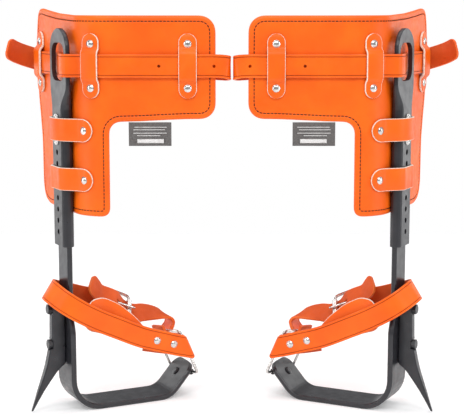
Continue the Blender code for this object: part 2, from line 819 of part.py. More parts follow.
class Buckle:
    """A roller buckle: along runs from the heel bar to the roller, out is its face."""

    def __init__(self, heel, along, across):
        self.heel = heel
        self.along = unit(along)
        self.out = unit(np.cross(self.along, across))
        self.across = np.cross(self.out, self.along)

    def point(self, along, out, across=0.0):
        return self.heel + self.along * along + self.out * out + self.across * across

    def frame(self):
        outline = rounded_rectangle(BUCKLE_LENGTH / 2, BUCKLE_HALF_WIDTH, 5.0)
        path = [self.point(a + BUCKLE_LENGTH / 2, 0.0, w) for a, w in outline]
        return wire(path, BUCKLE_WIRE, 8, True)

    def roller(self):
        half = BUCKLE_HALF_WIDTH - 5.6
        wall = ((ROLLER_RADIUS, -half), (ROLLER_RADIUS, half), (ROLLER_BORE, half), (ROLLER_BORE, -half))
        rings = turned_rings(wall, self.point(BUCKLE_LENGTH, 0.0), self.across, 16)
        return join_rings(rings, closed=True)

    def prong(self):
        """A bent wire: an open hook round the heel bar, then a straight tongue on the roller."""
        reach = ROLLER_BORE + PRONG_WIRE
        rest = ROLLER_RADIUS + GAP + PRONG_WIRE
        angles = np.radians(np.linspace(310.0, 95.0, 9))
        points = [self.point(reach * math.cos(a), reach * math.sin(a)) for a in angles]
        points += [self.point(3.0, reach + 0.1), self.point(BUCKLE_LENGTH + 5.0, rest)]
        return wire(points, PRONG_WIRE, 8)

    def slot(self, outline, half_width):
        """A cutter through a strap, drawn in the buckle's side view."""
        outline = np.array(outline, dtype=float)
        return prism(outline, self.heel, self.along, self.out, self.across, -half_width, half_width)

    def heel_notch(self):
        """Clears the chape round the prong's hook."""
        return self.slot([(-7.5, -7.0), (7.0, -7.0), (7.0, 5.5), (-7.5, 5.5)], 2.6)

    def prong_hole(self):
        """Clears the long hole in the strap in which the prong lifts."""
        return self.slot([(3.0, 1.4), (22.0, 1.4), (22.0, 12.5), (8.0, 9.6), (1.0, 5.6)], 2.0)

    def chape(self):
        """Middle line of the fold round the heel bar, from its free end to the strap side."""
        lift = BUCKLE_WIRE + GAP + STRAP_THICK / 2
        angles = np.radians(np.linspace(90.0, -90.0, 7))
        fold = [self.point(lift * math.cos(a), lift * math.sin(a)) for a in angles]
        return [self.point(-15.0, lift), self.point(-7.0, lift), *fold]

    def threaded(self):
        """Middle line of the strap through the buckle, from the roller side to over the heel."""
        under = -(ROLLER_RADIUS + GAP + STRAP_THICK / 2 + 0.1)
        over = BUCKLE_WIRE + 2 * (GAP + STRAP_THICK) - STRAP_THICK / 2 + 0.4
        rows = [(34.0, under), (BUCKLE_LENGTH, under), (20.5, -4.0), (15.0, -0.6)]
        rows += [(10.0, 3.2), (5.0, 6.3), (0.0, over), (-8.0, over), (-15.0, over)]
        return [self.point(a, n) for a, n in rows]


def calf_buckle():
    along = from_plan(STAND_X + 0.95, -0.31, 0.0)
    return Buckle(from_plan(-211.0, 103.0, STRAP_HEIGHT), along, vec(0, 0, -1))


def foot_buckle():
    """The foot buckle, which leans back about its own length."""
    lean, upright = math.sin(FOOT_BUCKLE_LEAN), math.cos(FOOT_BUCKLE_LEAN)
    across = vec(0.415 * upright, lean, 0.91 * upright)
    return Buckle(vec(59.0, 15.0, 114.5), vec(0.91, 0.0, -0.415), across)


def make_buckle(builder, name, buckle):
    builder.piece(f"{name}_buckle_frame", buckle.frame(), "bright_steel", round_shape=True)
    builder.piece(
        f"{name}_buckle_roller",
        buckle.roller(),
        "bright_steel",
        pivot=buckle.point(BUCKLE_LENGTH, 0.0),
        round_shape=True,
    )
    builder.piece(
        f"{name}_buckle_prong", buckle.prong(), "bright_steel", pivot=buckle.heel, round_shape=True
    )


# ---------------------------------------------------------------- straps


def calf_strap_path():
    """From the chape on the buckle, round the pad and the leg, and through the buckle to the tip."""
    buckle = calf_buckle()
    z = STRAP_HEIGHT
    lift = PAD_THICK / 2 + 2 * GAP + STRAP_THICK / 2
    rows = buckle.chape()
    rows += [buckle.point(-7.0, -3.7), vec(13.0, 107.6, z), vec(6.8, 107.0, z)]
    rows += [pad_point(along, lift, z) for along in (0.0, 9.0, 30.0, 58.0, 76.0)]
    rows += [vec(3.9, 19.0, z), vec(1.6, 9.0, z), vec(-1.5, 0.0, z), vec(-4.6, -9.0, z)]
    rows += [vec(-6.7, -19.0, z), vec(-5.6, -27.0, z)]
    rows += [pad_point(along, lift, z) for along in (136.0, 144.0, 154.0, 166.0, 190.0, 230.0, 262.0)]
    loop = ((-17.0, -37.8, 0.0), (-8.5, -37.0, -0.5), (-4.0, -34.0, -1.5), (-2.8, -29.5, -2.5))
    loop += ((-5.0, -25.0, -3.5), (-12.0, -20.0, -3.5), (-30.0, -8.0, -3.0), (-55.0, 15.0, -2.0))
    loop += ((-80.0, 45.0, -1.0), (-110.0, 68.0, -0.5), (-140.0, 78.0, 0.0))
    rows += [from_plan(x, y, z + drop) for x, y, drop in loop]
    rows += buckle.threaded()
    rows += [vec(9.0, 121.0, z + 3.0), vec(-3.0, 117.5, z + 6.5)]
    rows += [vec(-15.0, 111.0, z + 10.5), vec(-28.0, 103.0, z + 16.5)]
    return smooth(rows)


def make_calf_strap(builder):
    buckle = calf_buckle()
    solid = band(calf_strap_path(), vec(0, 0, 1), STRAP_WIDTH, STRAP_THICK)
    builder.piece("calf_strap", solid, "orange_leather", [buckle.heel_notch(), buckle.prong_hole()])


def ring_point(across, height):
    """A point on the ring's plane: across its hinge, and up from it."""
    hinge, side, up, _, _, _ = ring_frame()
    return hinge + side * across + up * height


def foot_strap_path():
    """The foot strap: folded round the ring, led round the shank, folded round the buckle's heel."""
    _, _, up, _, _, _ = ring_frame()
    lift = RING_WIRE + GAP + STRAP_THICK / 2
    heading = vec(0.966, 0.0, -0.259)
    skew = np.linalg.norm(np.cross(heading, up))
    centre = ring_point(-RING_HALF_WIDTH, 35.3)
    angles = np.radians(np.linspace(90.0, -90.0, 9))
    fold = [centre + heading * lift / skew * math.cos(a) + vec(0, lift * math.sin(a), 0) for a in angles]
    square = vec(0.27, 0, 0.96)
    rows = [(vec(88.0, -20.4, 75.6), square), (vec(106.0, -20.3, 71.0), square)]
    rows += [(fold[0] - heading * 10.0, up * 0.6 + square * 0.4), (fold[0] - heading * 1.5, up)]
    rows += [(point, up) for point in fold]
    rows += [
        (fold[-1] - heading * 1.5, up),
        (fold[-1] - heading * 10.0, up * 0.5 + square * 0.5),
        (vec(106.0, -27.1, 71.3), square),
        (vec(85.0, -27.2, 78.1), vec(0.36, 0, 0.93)),
        (vec(52.7, -27.4, 92.8), vec(0.41, 0, 0.91)),
        (vec(24.4, -28.0, 106.7), vec(0.44, 0, 0.9)),
        (vec(3.0, -27.0, 119.3), vec(0.5, 0, 0.87)),
        (vec(-10.5, -22.0, 129.0), vec(0.55, 0, 0.83)),
        (vec(-17.2, -10.0, 135.5), vec(0.58, 0, 0.81)),
        (vec(-18.4, 2.0, 138.0), vec(0.58, 0, 0.81)),
        (vec(-14.5, 13.0, 136.5), vec(0.52, 0, 0.85)),
        (vec(-5.0, 20.0, 132.5), vec(0.42, 0, 0.91)),
        (vec(11.0, 21.4, 127.4), vec(0.35, 0, 0.94)),
        (vec(28.0, 19.8, 122.2), vec(0.36, 0.12, 0.93)),
        (vec(44.0, 19.4, 118.2), vec(0.34, 0.42, 0.84)),
    ]
    rows += [(point, foot_buckle().across) for point in foot_buckle().chape()[::-1]]
    return smooth([np.concatenate(row) for row in rows])


def make_foot_strap(builder):
    rows = foot_strap_path()
    solid = band(rows[:, :3], rows[:, 3:], STRAP_WIDTH, STRAP_THICK, skewed=True)
    cuts = [drill(1.9, vec(x, -30.0, z), vec(0, 1, 0), -6.0, 14.0, 12) for x, z in foot_rivets()]
    builder.piece("foot_strap", solid, "orange_leather", [foot_buckle().heel_notch(), *cuts])


def foot_rivets():
    """Places (x, z) of the two rivets that close the foot strap's fold round the ring."""
    return [(99.5, 73.3), (120.5, 66.8)]


def make_foot_rivets(builder):
    for number, (x, z) in enumerate(foot_rivets(), 1):
        front = -27.3 - STRAP_THICK / 2 - GAP
        back = -19.85 + STRAP_THICK / 2 + GAP
        profile = [
            (2.2, front - 1.6),
            (4.1, front - 0.7),
            (4.1, front),
            (1.6, front),
            (1.6, back),
            (4.1, back),
            (2.6, back + 1.1),
        ]
        solid = turned(profile, vec(x, 0, z), vec(0, 1, 0), 12)
        builder.piece(f"foot_rivet_{number}", solid, "bright_steel")


def foot_billet_path():
    """The billet: folded round the ring's top bar, twisted, and threaded through the foot buckle."""
    _, side, up, _, _, _ = ring_frame()
    lift = RING_WIRE + GAP + STRAP_THICK / 2
    front = unit(np.cross(side, up))
    buckle = foot_buckle()
    fold = arc(ring_point(10.0, RING_HEIGHT), front, up, lift, -math.pi, math.radians(-55.0), 6)
    away = unit(vec(0.55, 0.02, 0.83))
    rows = [(fold[0] + up * 8.0, side), (fold[0] + up * 1.5, side)]
    rows += [(point, side) for point in fold]
    rows += [(fold[-1] + away * 1.5, side), (fold[-1] + away * 7.0, vec(-0.1, 0.99, -0.1))]
    rows += [
        (vec(134.6, 15.8, 80.5), vec(0.0, 1.0, -0.05)),
        (vec(135.4, 16.2, 85.0), vec(0.0, 1.0, 0.0)),
        (vec(132.0, 17.0, 89.6), vec(0.0, 1.0, 0.0)),
        (vec(125.5, 17.8, 92.8), vec(0.1, 0.97, 0.2)),
        (vec(115.0, 18.4, 95.0), vec(0.22, 0.88, 0.42)),
        (vec(103.0, 18.8, 96.4), vec(0.28, 0.76, 0.58)),
    ]
    rows += [(point, buckle.across) for point in buckle.threaded()]
    leaning = vec(0.5, 0.62, 0.6)
    rows += [(vec(39.5, 7.5, 133.0), leaning), (vec(33.0, 6.5, 142.0), leaning)]
    return smooth([np.concatenate(row) for row in rows])


def make_foot_billet(builder):
    rows = foot_billet_path()
    solid = band(rows[:, :3], rows[:, 3:], STRAP_WIDTH, STRAP_THICK, skewed=True)
    builder.piece("foot_billet", solid, "orange_leather", [foot_buckle().prong_hole()])


def make_foot_shield(builder):
    """A leaf of leather behind the foot strap that keeps the buckle off the boot."""
    rows = []
    for x, y, z, half in (
        (20.5, -22.5, 111.0, 17.5),
        (26.0, -20.5, 109.6, 19.0),
        (33.4, -18.5, 108.0, 20.0),
        (42.0, -18.0, 104.6, 19.0),
        (52.5, -18.2, 101.0, 17.5),
        (63.0, -19.0, 95.5, 15.0),
        (74.3, -20.0, 90.0, 11.0),
        (84.0, -21.0, 84.0, 6.0),
    ):
        out = vec(0.1, -0.99, 0.0)
        up = vec(0.25, 0.0, 0.97)
        point = vec(x, y, z)
        rows.append(
            np.array(
                [
                    point - up * half - out,
                    point + up * half - out,
                    point + up * half + out,
                    point - up * half + out,
                ]
            )
        )
    builder.piece("foot_shield", join_rings(rows), "orange_leather")


def main():
    clear_scene()
    builder = Builder()
    make_bar(builder)
    make_sleeve(builder)
    make_screws(builder)
    make_gaff(builder)
    make_gaff_bolts(builder)
    make_clip(builder)
    make_clip_rivet(builder)
    make_ring(builder)
    make_pad(builder)
    make_keepers(builder)
    make_loops(builder)
    make_tag(builder)
    make_buckle(builder, "calf", calf_buckle())
    make_buckle(builder, "foot", foot_buckle())
    make_calf_strap(builder)
    make_foot_strap(builder)
    make_foot_rivets(builder)
    make_foot_billet(builder)
    make_foot_shield(builder)


main()
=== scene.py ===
"""The looks of a pair of tree climbing spurs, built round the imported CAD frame.

Leather pieces are drawn in the left climber's own frame, in millimetres, as in the part: x towards
the free end of the stirrup, y away from the front, z up, the shank's axis at x = y = 0. They are
placed in the world in metres, and the right climber's pieces mirror the left's across X = 0.
"""

import json
import math

import bmesh
import bpy
import numpy as np
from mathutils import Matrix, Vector, geometry, noise


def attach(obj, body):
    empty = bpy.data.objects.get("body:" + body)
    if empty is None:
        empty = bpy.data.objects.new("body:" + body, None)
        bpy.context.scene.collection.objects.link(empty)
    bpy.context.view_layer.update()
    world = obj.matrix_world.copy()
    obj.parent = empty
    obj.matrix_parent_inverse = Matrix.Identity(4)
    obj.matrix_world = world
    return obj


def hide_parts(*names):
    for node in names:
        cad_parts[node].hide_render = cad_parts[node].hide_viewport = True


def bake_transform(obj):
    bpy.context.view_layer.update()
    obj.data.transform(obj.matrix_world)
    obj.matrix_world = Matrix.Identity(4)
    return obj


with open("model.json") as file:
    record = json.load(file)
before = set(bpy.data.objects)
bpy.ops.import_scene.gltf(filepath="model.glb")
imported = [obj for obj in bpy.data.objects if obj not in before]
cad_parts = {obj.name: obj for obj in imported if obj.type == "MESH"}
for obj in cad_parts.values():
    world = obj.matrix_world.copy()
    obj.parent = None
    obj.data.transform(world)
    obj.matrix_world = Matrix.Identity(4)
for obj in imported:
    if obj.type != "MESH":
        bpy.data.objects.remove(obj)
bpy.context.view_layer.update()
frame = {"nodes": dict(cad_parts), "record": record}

MM = 0.001

# Where the left climber stands, and how far it is turned about +Z.
STAND_X = -187.2
STAND_Y = -36.797
TURN = math.radians(26.8)

GAP = 0.3
BAR_THICK = 6.0
UPTURN_RADIUS = 24.0
UPTURN_ANGLE = math.radians(49.0)
TREAD_END = 108.0
RIVET_ALONG = 17.8
SLEEVE_HALF_X = 6.55

# Calf pad.
PAD_THICK = 6.0
PAD_X = 9.9
PAD_BACK_Y = 103.0
PAD_BEND_Y = -17.4
PAD_BEND_RADIUS = 40.0
PAD_BEND_ANGLE = math.pi / 2 - TURN
PAD_BEND_START = PAD_BACK_Y - PAD_BEND_Y
PAD_BEND_LENGTH = PAD_BEND_RADIUS * PAD_BEND_ANGLE
PAD_NOTCH = 167.0
PAD_FREE_END = 281.8
PAD_UPPER_EDGE = 442.0
PAD_LOWER_EDGE = 225.0
PAD_STEP = 1.6
FACE_PITCH = 2.8
CROWN_REACH = 9.0
BORDER_ROUND = 3.4
STITCH_INSET = 6.2
STITCH_PITCH = 4.0
STITCH_SIDES = 6

# Radii of the pad's corners: top and bottom of the free end, inside and foot of the notch.
UPPER_CORNER = 17.0
LOWER_CORNER = 16.0
NOTCH_CORNER = 12.0
FOOT_CORNER = 8.0

# Leather bands.
STRAP_THICK = 3.0
STRAP_WIDTH = 25.0
STRAP_HEIGHT = 388.4
EDGE_ROUND = 0.55
GROOVE_INSET = 2.7
GROOVE_HALF = 0.5
GROOVE_DEPTH = 0.5
KEEPER_THICK = 2.4
KEEPER_WIDTH = 19.4
KEEPER_PLACES = {"a": 19.0, "b": 149.3, "c": 252.0}
KEEPER_RIVET = 23.6
LOOP_WIDTH = 25.0
LOOPS = {"upper": (318.5, 2.6), "lower": (264.5, 0.0)}
LOOP_RIVETS = (60.0, 140.5)
STRAP_HOLES = (-78.0, -48.6, -19.2)
TAG_HEIGHT = 315.2
TAG_WIDTH = 25.6
TAG_THICK = 0.9
FOOT_RIVETS = ((99.5, 73.3), (120.5, 66.8))
FOOT_STRAP_FRONT_Y = -27.3
FOOT_STRAP_BACK_Y = -19.85

# Buckles and ring.
BUCKLE_WIRE = 1.9
BUCKLE_LENGTH = 26.0
ROLLER_RADIUS = 3.3
FOOT_BUCKLE_LEAN = math.radians(42.0)
RING_WIRE = 1.7
RING_HALF_WIDTH = 27.5
RING_HEIGHT = 54.5
CLIP_TURN = math.radians(12.0)

# Finishes of a band's sides, as material slots.
FRONT, EDGE, GROOVE, BACK = range(4)


def vec(*values):
    return np.array(values, dtype=float)


UP = vec(0, 0, 1)


def unit(values):
    values = np.asarray(values, dtype=float)
    return values / np.linalg.norm(values, axis=-1, keepdims=True)


def ease(value, start, end):
    """A smooth step from 0 at start to 1 at end."""
    part = np.clip((value - start) / (end - start), 0.0, 1.0)
    return part * part * (3.0 - 2.0 * part)


# ---------------------------------------------------------------- frames and paths


def to_world(points):
    """Climber frame in mm to the world in metres, for the left climber."""
    points = np.asarray(points, dtype=float)
    cos, sin = math.cos(TURN), math.sin(TURN)
    x = STAND_X + points[..., 0] * cos - points[..., 1] * sin
    y = STAND_Y + points[..., 0] * sin + points[..., 1] * cos
    return np.stack([x, y, points[..., 2]], axis=-1) * MM


def from_plan(world_x, world_y, height):
    """A point given in world X and Y (mm, before the shift in Y) as a point in the climber frame."""
    cos, sin = math.cos(TURN), math.sin(TURN)
    dx = world_x - STAND_X
    return vec(dx * cos + world_y * sin, -dx * sin + world_y * cos, height)


def pad_point(along, out, height):
    """A point of the pad: distance along its plan curve, distance out of its middle, height."""
    along = np.asarray(along, dtype=float)
    swept = np.clip((along - PAD_BEND_START) / PAD_BEND_RADIUS, 0.0, PAD_BEND_ANGLE)
    before = np.minimum(along - PAD_BEND_START, 0.0)
    after = np.maximum(along - PAD_BEND_START - PAD_BEND_LENGTH, 0.0)
    middle_x = PAD_X + PAD_BEND_RADIUS
    outward = np.stack([-np.cos(swept), -np.sin(swept)], axis=-1)
    forward = np.stack([np.sin(swept), -np.cos(swept)], axis=-1)
    base = np.stack([np.full_like(swept, middle_x), np.full_like(swept, PAD_BEND_Y)], axis=-1)
    flat = base + outward * (PAD_BEND_RADIUS + np.asarray(out)[..., None])
    flat = flat + forward * (before + after)[..., None]
    return np.stack([flat[..., 0], flat[..., 1], np.broadcast_to(height, swept.shape)], axis=-1)


def pad_outward(along):
    return pad_point(along, 1.0, 0.0) - pad_point(along, 0.0, 0.0)


def smooth(points, step=1.6):
    """A smooth curve through rows of numbers, the first three of which are a place."""
    points = np.asarray(points, dtype=float)
    chord = np.linalg.norm(np.diff(points[:, :3], axis=0), axis=1)[:, None]
    slope = np.diff(points, axis=0) / chord
    middle = (slope[:-1] * chord[1:] + slope[1:] * chord[:-1]) / (chord[1:] + chord[:-1])
    slope = np.vstack([slope[0], middle, slope[-1]])
    fine = []
    for index, length in enumerate(chord[:, 0]):
        t = np.linspace(0.0, 1.0, max(2, int(length / step)), endpoint=False)[:, None]
        fine.append(
            points[index] * (2 * t**3 - 3 * t**2 + 1)
            + points[index + 1] * (3 * t**2 - 2 * t**3)
            + length * (slope[index] * (t**3 - 2 * t**2 + t) + slope[index + 1] * (t**3 - t**2))
        )
    return np.vstack([*fine, points[-1:]])


def arc(centre, axis_u, axis_v, radius, start, end, count):
    """Points on an arc in the plane of two unit directions."""
    angles = np.linspace(start, end, count)
    return centre + radius * (
        np.cos(angles)[:, None] * axis_u + np.sin(angles)[:, None] * axis_v
    )


def lengths_along(path):
    steps = np.linalg.norm(np.diff(path, axis=0), axis=1)
    return np.concatenate([[0.0], np.cumsum(steps)])


def bisected(path):
    """Unit directions along a path, halving the angle at each point."""
    chords = unit(np.diff(path, axis=0))
    return unit(np.vstack([chords[:1], chords[:-1] + chords[1:], chords[-1:]]))


# ---------------------------------------------------------------- meshes


def band_section(half, thick, grooved):
    """A band's cross-section: rows of (across, out), and the finish of the side after each point."""
    top = thick / 2
    soft = min(EDGE_ROUND, half * 0.4)
    bevel = 0.3 * soft
    rows = [(-1, soft, top, FRONT)]
    if grooved:
        near, far, floor = GROOVE_INSET - GROOVE_HALF, GROOVE_INSET + GROOVE_HALF, top - GROOVE_DEPTH
        rows += [(-1, near, top, GROOVE), (-1, GROOVE_INSET, floor, GROOVE), (-1, far, top, FRONT)]
        rows += [(1, far, top, GROOVE), (1, GROOVE_INSET, floor, GROOVE), (1, near, top, FRONT)]
    rows += [(1, soft, top, EDGE), (1, bevel, top - bevel, EDGE), (1, 0.0, top - soft, EDGE)]
    rows += [(1, 0.0, soft - top, EDGE), (1, bevel, bevel - top, EDGE), (1, soft, -top, BACK)]
    rows += [(-1, soft, -top, EDGE), (-1, bevel, bevel - top, EDGE), (-1, 0.0, soft - top, EDGE)]
    rows += [(-1, 0.0, top - soft, EDGE), (-1, bevel, top - bevel, EDGE)]
    places = [(sign * max(half - inset, 0.0), out) for sign, inset, out, _ in rows]
    return np.array(places), [finish for *_, finish in rows]


def end_rounding(path, half_width):
    """Half widths along a path whose two ends are rounded to a half circle."""
    run = lengths_along(path)
    near = np.clip(half_width - np.minimum(run, run[-1] - run), 0.0, half_width * 0.995)
    return np.sqrt(half_width**2 - near**2)


def refine_ends(rows, half_width):
    """Adds rows near both ends of a path, so that their outline stays round."""
    run = lengths_along(rows[:, :3])
    extra = half_width * (1.0 - np.cos(np.linspace(0.0, math.pi / 2, 14)))
    marks = np.unique(np.concatenate([run, extra, run[-1] - extra]))
    marks = marks[np.concatenate([[True], np.diff(marks) > 0.02])]
    return np.stack([np.interp(marks, run, rows[:, i]) for i in range(rows.shape[1])], axis=1)


def tip_rounding(path, half, radius):
    """Half widths along a path whose far end has round corners."""
    left = lengths_along(path)[-1] - lengths_along(path)
    near = np.clip(1.0 - left / radius, 0.0, 0.99)
    return half - radius * (1.0 - np.sqrt(1.0 - near**2))


def band(rows, width, thick, rounded=False, grooved=False, outer=1, tip=0.0):
    """A leather band swept along rows of (place, direction across, perhaps half width).

    outer is 1 or -1: which face carries the grooves and the smooth finish. tip is the radius of
    the corners at the far end.
    """
    rows = np.asarray(rows, dtype=float)
    if rounded or tip:
        rows = refine_ends(rows, tip or width / 2)
    path, across = rows[:, :3], unit(rows[:, 3:6])
    tangent = bisected(path)
    face = unit(np.cross(tangent, across))
    across = across / np.linalg.norm(np.cross(tangent, across), axis=1)[:, None]
    half = np.full(len(path), width / 2)
    if rounded:
        half = end_rounding(path, width / 2)
    if tip:
        half = tip_rounding(path, half, tip)
    if rows.shape[1] > 6:
        half = rows[:, 6]
    verts, faces, finishes = [], [], []
    for point, side, out, reach in zip(path, across, face, half):
        section, sides = band_section(reach, thick, grooved)
        verts.append(point + section[:, :1] * side + section[:, 1:] * out * outer)
    count = len(verts[0])
    for i in range(len(rows) - 1):
        for j in range(count):
            k = (j + 1) % count
            faces.append((i * count + j, i * count + k, (i + 1) * count + k, (i + 1) * count + j))
            finishes.append(sides[j])
    faces.append(tuple(range(count))[::-1])
    faces.append(tuple(range((len(rows) - 1) * count, len(rows) * count)))
    finishes += [EDGE, EDGE]
    return np.vstack(verts), faces, finishes


def prism(outline, origin, axis_a, axis_b, axis_c, low, high):
    """An outline in the a-b plane of a frame, drawn out from low to high along c."""
    flat = origin + outline[:, :1] * axis_a + outline[:, 1:] * axis_b
    count = len(flat)
    faces = [(j, (j + 1) % count, count + (j + 1) % count, count + j) for j in range(count)]
    faces += [tuple(range(count))[::-1], tuple(range(count, 2 * count))]
    return np.vstack([flat + axis_c * low, flat + axis_c * high]), faces, [EDGE] * len(faces)


def turned(profile, origin, axis, sides=24):
    """A turned solid from rows of (radius, height) that start and end on the axis."""
    axis = unit(axis)
    side = unit(np.cross(axis, vec(0.0, 0.3, 1.0)))
    other = np.cross(axis, side)
    angles = np.arange(sides) * 2 * math.pi / sides
    around = np.cos(angles)[:, None] * side + np.sin(angles)[:, None] * other
    verts = [origin + axis * height + radius * around for radius, height in profile]
    faces = []
    for i in range(len(profile) - 1):
        for j in range(sides):
            k = (j + 1) % sides
            faces.append((i * sides + j, i * sides + k, (i + 1) * sides + k, (i + 1) * sides + j))
    faces.append(tuple(range(sides))[::-1])
    faces.append(tuple(range((len(profile) - 1) * sides, len(profile) * sides)))
    return np.vstack(verts), faces, [FRONT] * len(faces)


def joined(solids):
    """Several solids as one."""
    verts, faces, finishes = [], [], []
    start = 0
    for points, polygons, sides in solids:
        verts.append(points)
        faces += [tuple(start + i for i in polygon) for polygon in polygons]
        finishes += sides
        start += len(points)
    return np.vstack(verts), faces, finishes


def make_mesh(name, solid, mirror):
    """A mesh in the world from a solid in the climber frame; the mirrored one is the right climber's."""
    verts, faces, finishes = solid
    places = to_world(verts)
    if mirror:
        places = places * vec(-1.0, 1.0, 1.0)
        faces = [polygon[::-1] for polygon in faces]
    mesh = bpy.data.meshes.new(name)
    mesh.from_pydata(places.tolist(), [], [list(polygon) for polygon in faces])
    mesh.polygons.foreach_set("material_index", finishes)
    fixer = bmesh.new()
    fixer.from_mesh(mesh)
    bmesh.ops.remove_doubles(fixer, verts=fixer.verts, dist=1e-7)
    bmesh.ops.recalc_face_normals(fixer, faces=fixer.faces)
    fixer.to_mesh(mesh)
    fixer.free()
    return mesh


def cut(target, cutter):
    """Takes one object's shape out of another, and removes the cutter."""
    modifier = target.modifiers.new("cut", "BOOLEAN")
    modifier.operation = "DIFFERENCE"
    modifier.solver = "EXACT"
    modifier.object = cutter
    graph = bpy.context.evaluated_depsgraph_get()
    mesh = bpy.data.meshes.new_from_object(target.evaluated_get(graph))
    target.modifiers.remove(modifier)
    target.data = mesh
    bpy.data.objects.remove(cutter)


def make_object(name, mesh, materials):
    made = bpy.data.objects.new(name, mesh)
    bpy.context.scene.collection.objects.link(made)
    for material in materials:
        mesh.materials.append(material)
    return made


def soften(made, sharp_degrees=40.0):
    """Smooth shading that keeps edges sharper than the given angle."""
    mesh = made.data
    mesh.polygons.foreach_set("use_smooth", [True] * len(mesh.polygons))
    mesh.set_sharp_from_angle(angle=math.radians(sharp_degrees))


def pair(name, solid, materials, body, nodes=(), cuts=(), bends=None):
    """Adds a piece to both climbers: body and nodes are named without left_ or right_.

    When bends is given, the piece is left off any body, with its place baked into its mesh; the two
    points in bends are not used.
    """
    pieces = []
    for side, mirror in (("left", False), ("right", True)):
        made = make_object(f"{side}_{name}", make_mesh(name, solid, mirror), materials)
        for number, cutter in enumerate(cuts):
            cutter_mesh = make_mesh("cutter", cutter, mirror)
            cut(made, make_object(f"cutter_{number}", cutter_mesh, materials))
        soften(made)
        if bends:
            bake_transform(made)
        else:
            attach(made, f"{side}_{body}")
        if nodes:
            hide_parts(*(f"{side}_{node}" for node in nodes))
        pieces.append(made)
    return pieces


# ---------------------------------------------------------------- materials


class Look:
    """Builds a material's nodes: noise and other patterns in object space, in metres."""

    def __init__(self, name, roughness=0.5, metallic=0.0):
        self.material = bpy.data.materials.new(name)
        self.material.use_nodes = True
        self.nodes = self.material.node_tree.nodes
        self.links = self.material.node_tree.links
        self.shader = self.nodes["Principled BSDF"]
        self.shader.inputs["Roughness"].default_value = roughness
        self.shader.inputs["Metallic"].default_value = metallic
        self.place = self.nodes.new("ShaderNodeTexCoord").outputs["Object"]

    def noise(self, scale, detail=4.0):
        node = self.nodes.new("ShaderNodeTexNoise")
        node.inputs["Scale"].default_value = scale
        node.inputs["Detail"].default_value = detail
        self.links.new(self.place, node.inputs["Vector"])
        return node.outputs["Fac"]

    def cells(self, scale):
        node = self.nodes.new("ShaderNodeTexVoronoi")
        node.feature = "SMOOTH_F1"
        node.inputs["Scale"].default_value = scale
        self.links.new(self.place, node.inputs["Vector"])
        return node.outputs["Distance"]

    def weave(self, scale, direction):
        node = self.nodes.new("ShaderNodeTexWave")
        node.bands_direction = direction
        node.inputs["Scale"].default_value = scale
        node.inputs["Distortion"].default_value = 0.4
        self.links.new(self.place, node.inputs["Vector"])
        return node.outputs["Fac"]

    def ramp(self, value, stops):
        """Colours along a value, from rows of (position, colour)."""
        node = self.nodes.new("ShaderNodeValToRGB")
        marks = node.color_ramp.elements
        for mark, (position, colour) in zip(marks, (stops[0], stops[-1])):
            mark.position = position
            mark.color = (*colour, 1.0)
        for position, colour in stops[1:-1]:
            marks.new(position).color = (*colour, 1.0)
        self.links.new(value, node.inputs["Fac"])
        return node.outputs["Color"]

    def between(self, value, low, high, from_low=0.3, from_high=0.7):
        node = self.nodes.new("ShaderNodeMapRange")
        node.inputs["From Min"].default_value = from_low
        node.inputs["From Max"].default_value = from_high
        node.inputs["To Min"].default_value = low
        node.inputs["To Max"].default_value = high
        self.links.new(value, node.inputs["Value"])
        return node.outputs["Result"]

    def math(self, operation, first, second):
        node = self.nodes.new("ShaderNodeMath")
        node.operation = operation
        for socket, value in zip(node.inputs, (first, second)):
            if isinstance(value, (int, float)):
                socket.default_value = value
            else:
                self.links.new(value, socket)
        return node.outputs["Value"]

    def mix(self, amount, first, second):
        node = self.nodes.new("ShaderNodeMix")
        node.data_type = "RGBA"
        self.links.new(amount, node.inputs["Factor"])
        for socket, value in ((node.inputs[6], first), (node.inputs[7], second)):
            if isinstance(value, tuple):
                socket.default_value = (*value, 1.0)
            else:
                self.links.new(value, socket)
        return node.outputs[2]

    def bump(self, height, strength, distance, normal=None):
        node = self.nodes.new("ShaderNodeBump")
        node.inputs["Strength"].default_value = strength
        node.inputs["Distance"].default_value = distance
        self.links.new(height, node.inputs["Height"])
        if normal is not None:
            self.links.new(normal, node.inputs["Normal"])
        return node.outputs["Normal"]

    def edges(self, radius):
        """Rounded normals at sharp edges, and a mask that is 1 on those edges."""
        bevel = self.nodes.new("ShaderNodeBevel")
        bevel.samples = 4
        bevel.inputs["Radius"].default_value = radius
        true_normal = self.nodes.new("ShaderNodeNewGeometry").outputs["True Normal"]
        dot = self.nodes.new("ShaderNodeVectorMath")
        dot.operation = "DOT_PRODUCT"
        self.links.new(bevel.outputs["Normal"], dot.inputs[0])
        self.links.new(true_normal, dot.inputs[1])
        return bevel.outputs["Normal"], self.between(dot.outputs["Value"], 1.0, 0.0, 0.8, 0.985)

    def set(self, socket, value):
        self.links.new(value, self.shader.inputs[socket])

    def paint(self, scale, stops):
        """Base colours that drift with noise, from rows of (position, colour)."""
        self.set("Base Color", self.ramp(self.noise(scale), stops))


def leather(name, tones, rough=(0.36, 0.5), grain=0.16):
    """Finished leather: pores, faint creases, and a slow change of colour."""
    look = Look(name)
    look.shader.inputs["Specular IOR Level"].default_value = 0.32
    look.paint(26.0, list(zip((0.34, 0.52, 0.7), tones)))
    look.set("Roughness", look.between(look.noise(180.0), *rough))
    pores = look.bump(look.cells(1050.0), grain, 0.0004)
    look.set("Normal", look.bump(look.noise(420.0, 6.0), grain * 0.9, 0.0005, pores))
    return look.material


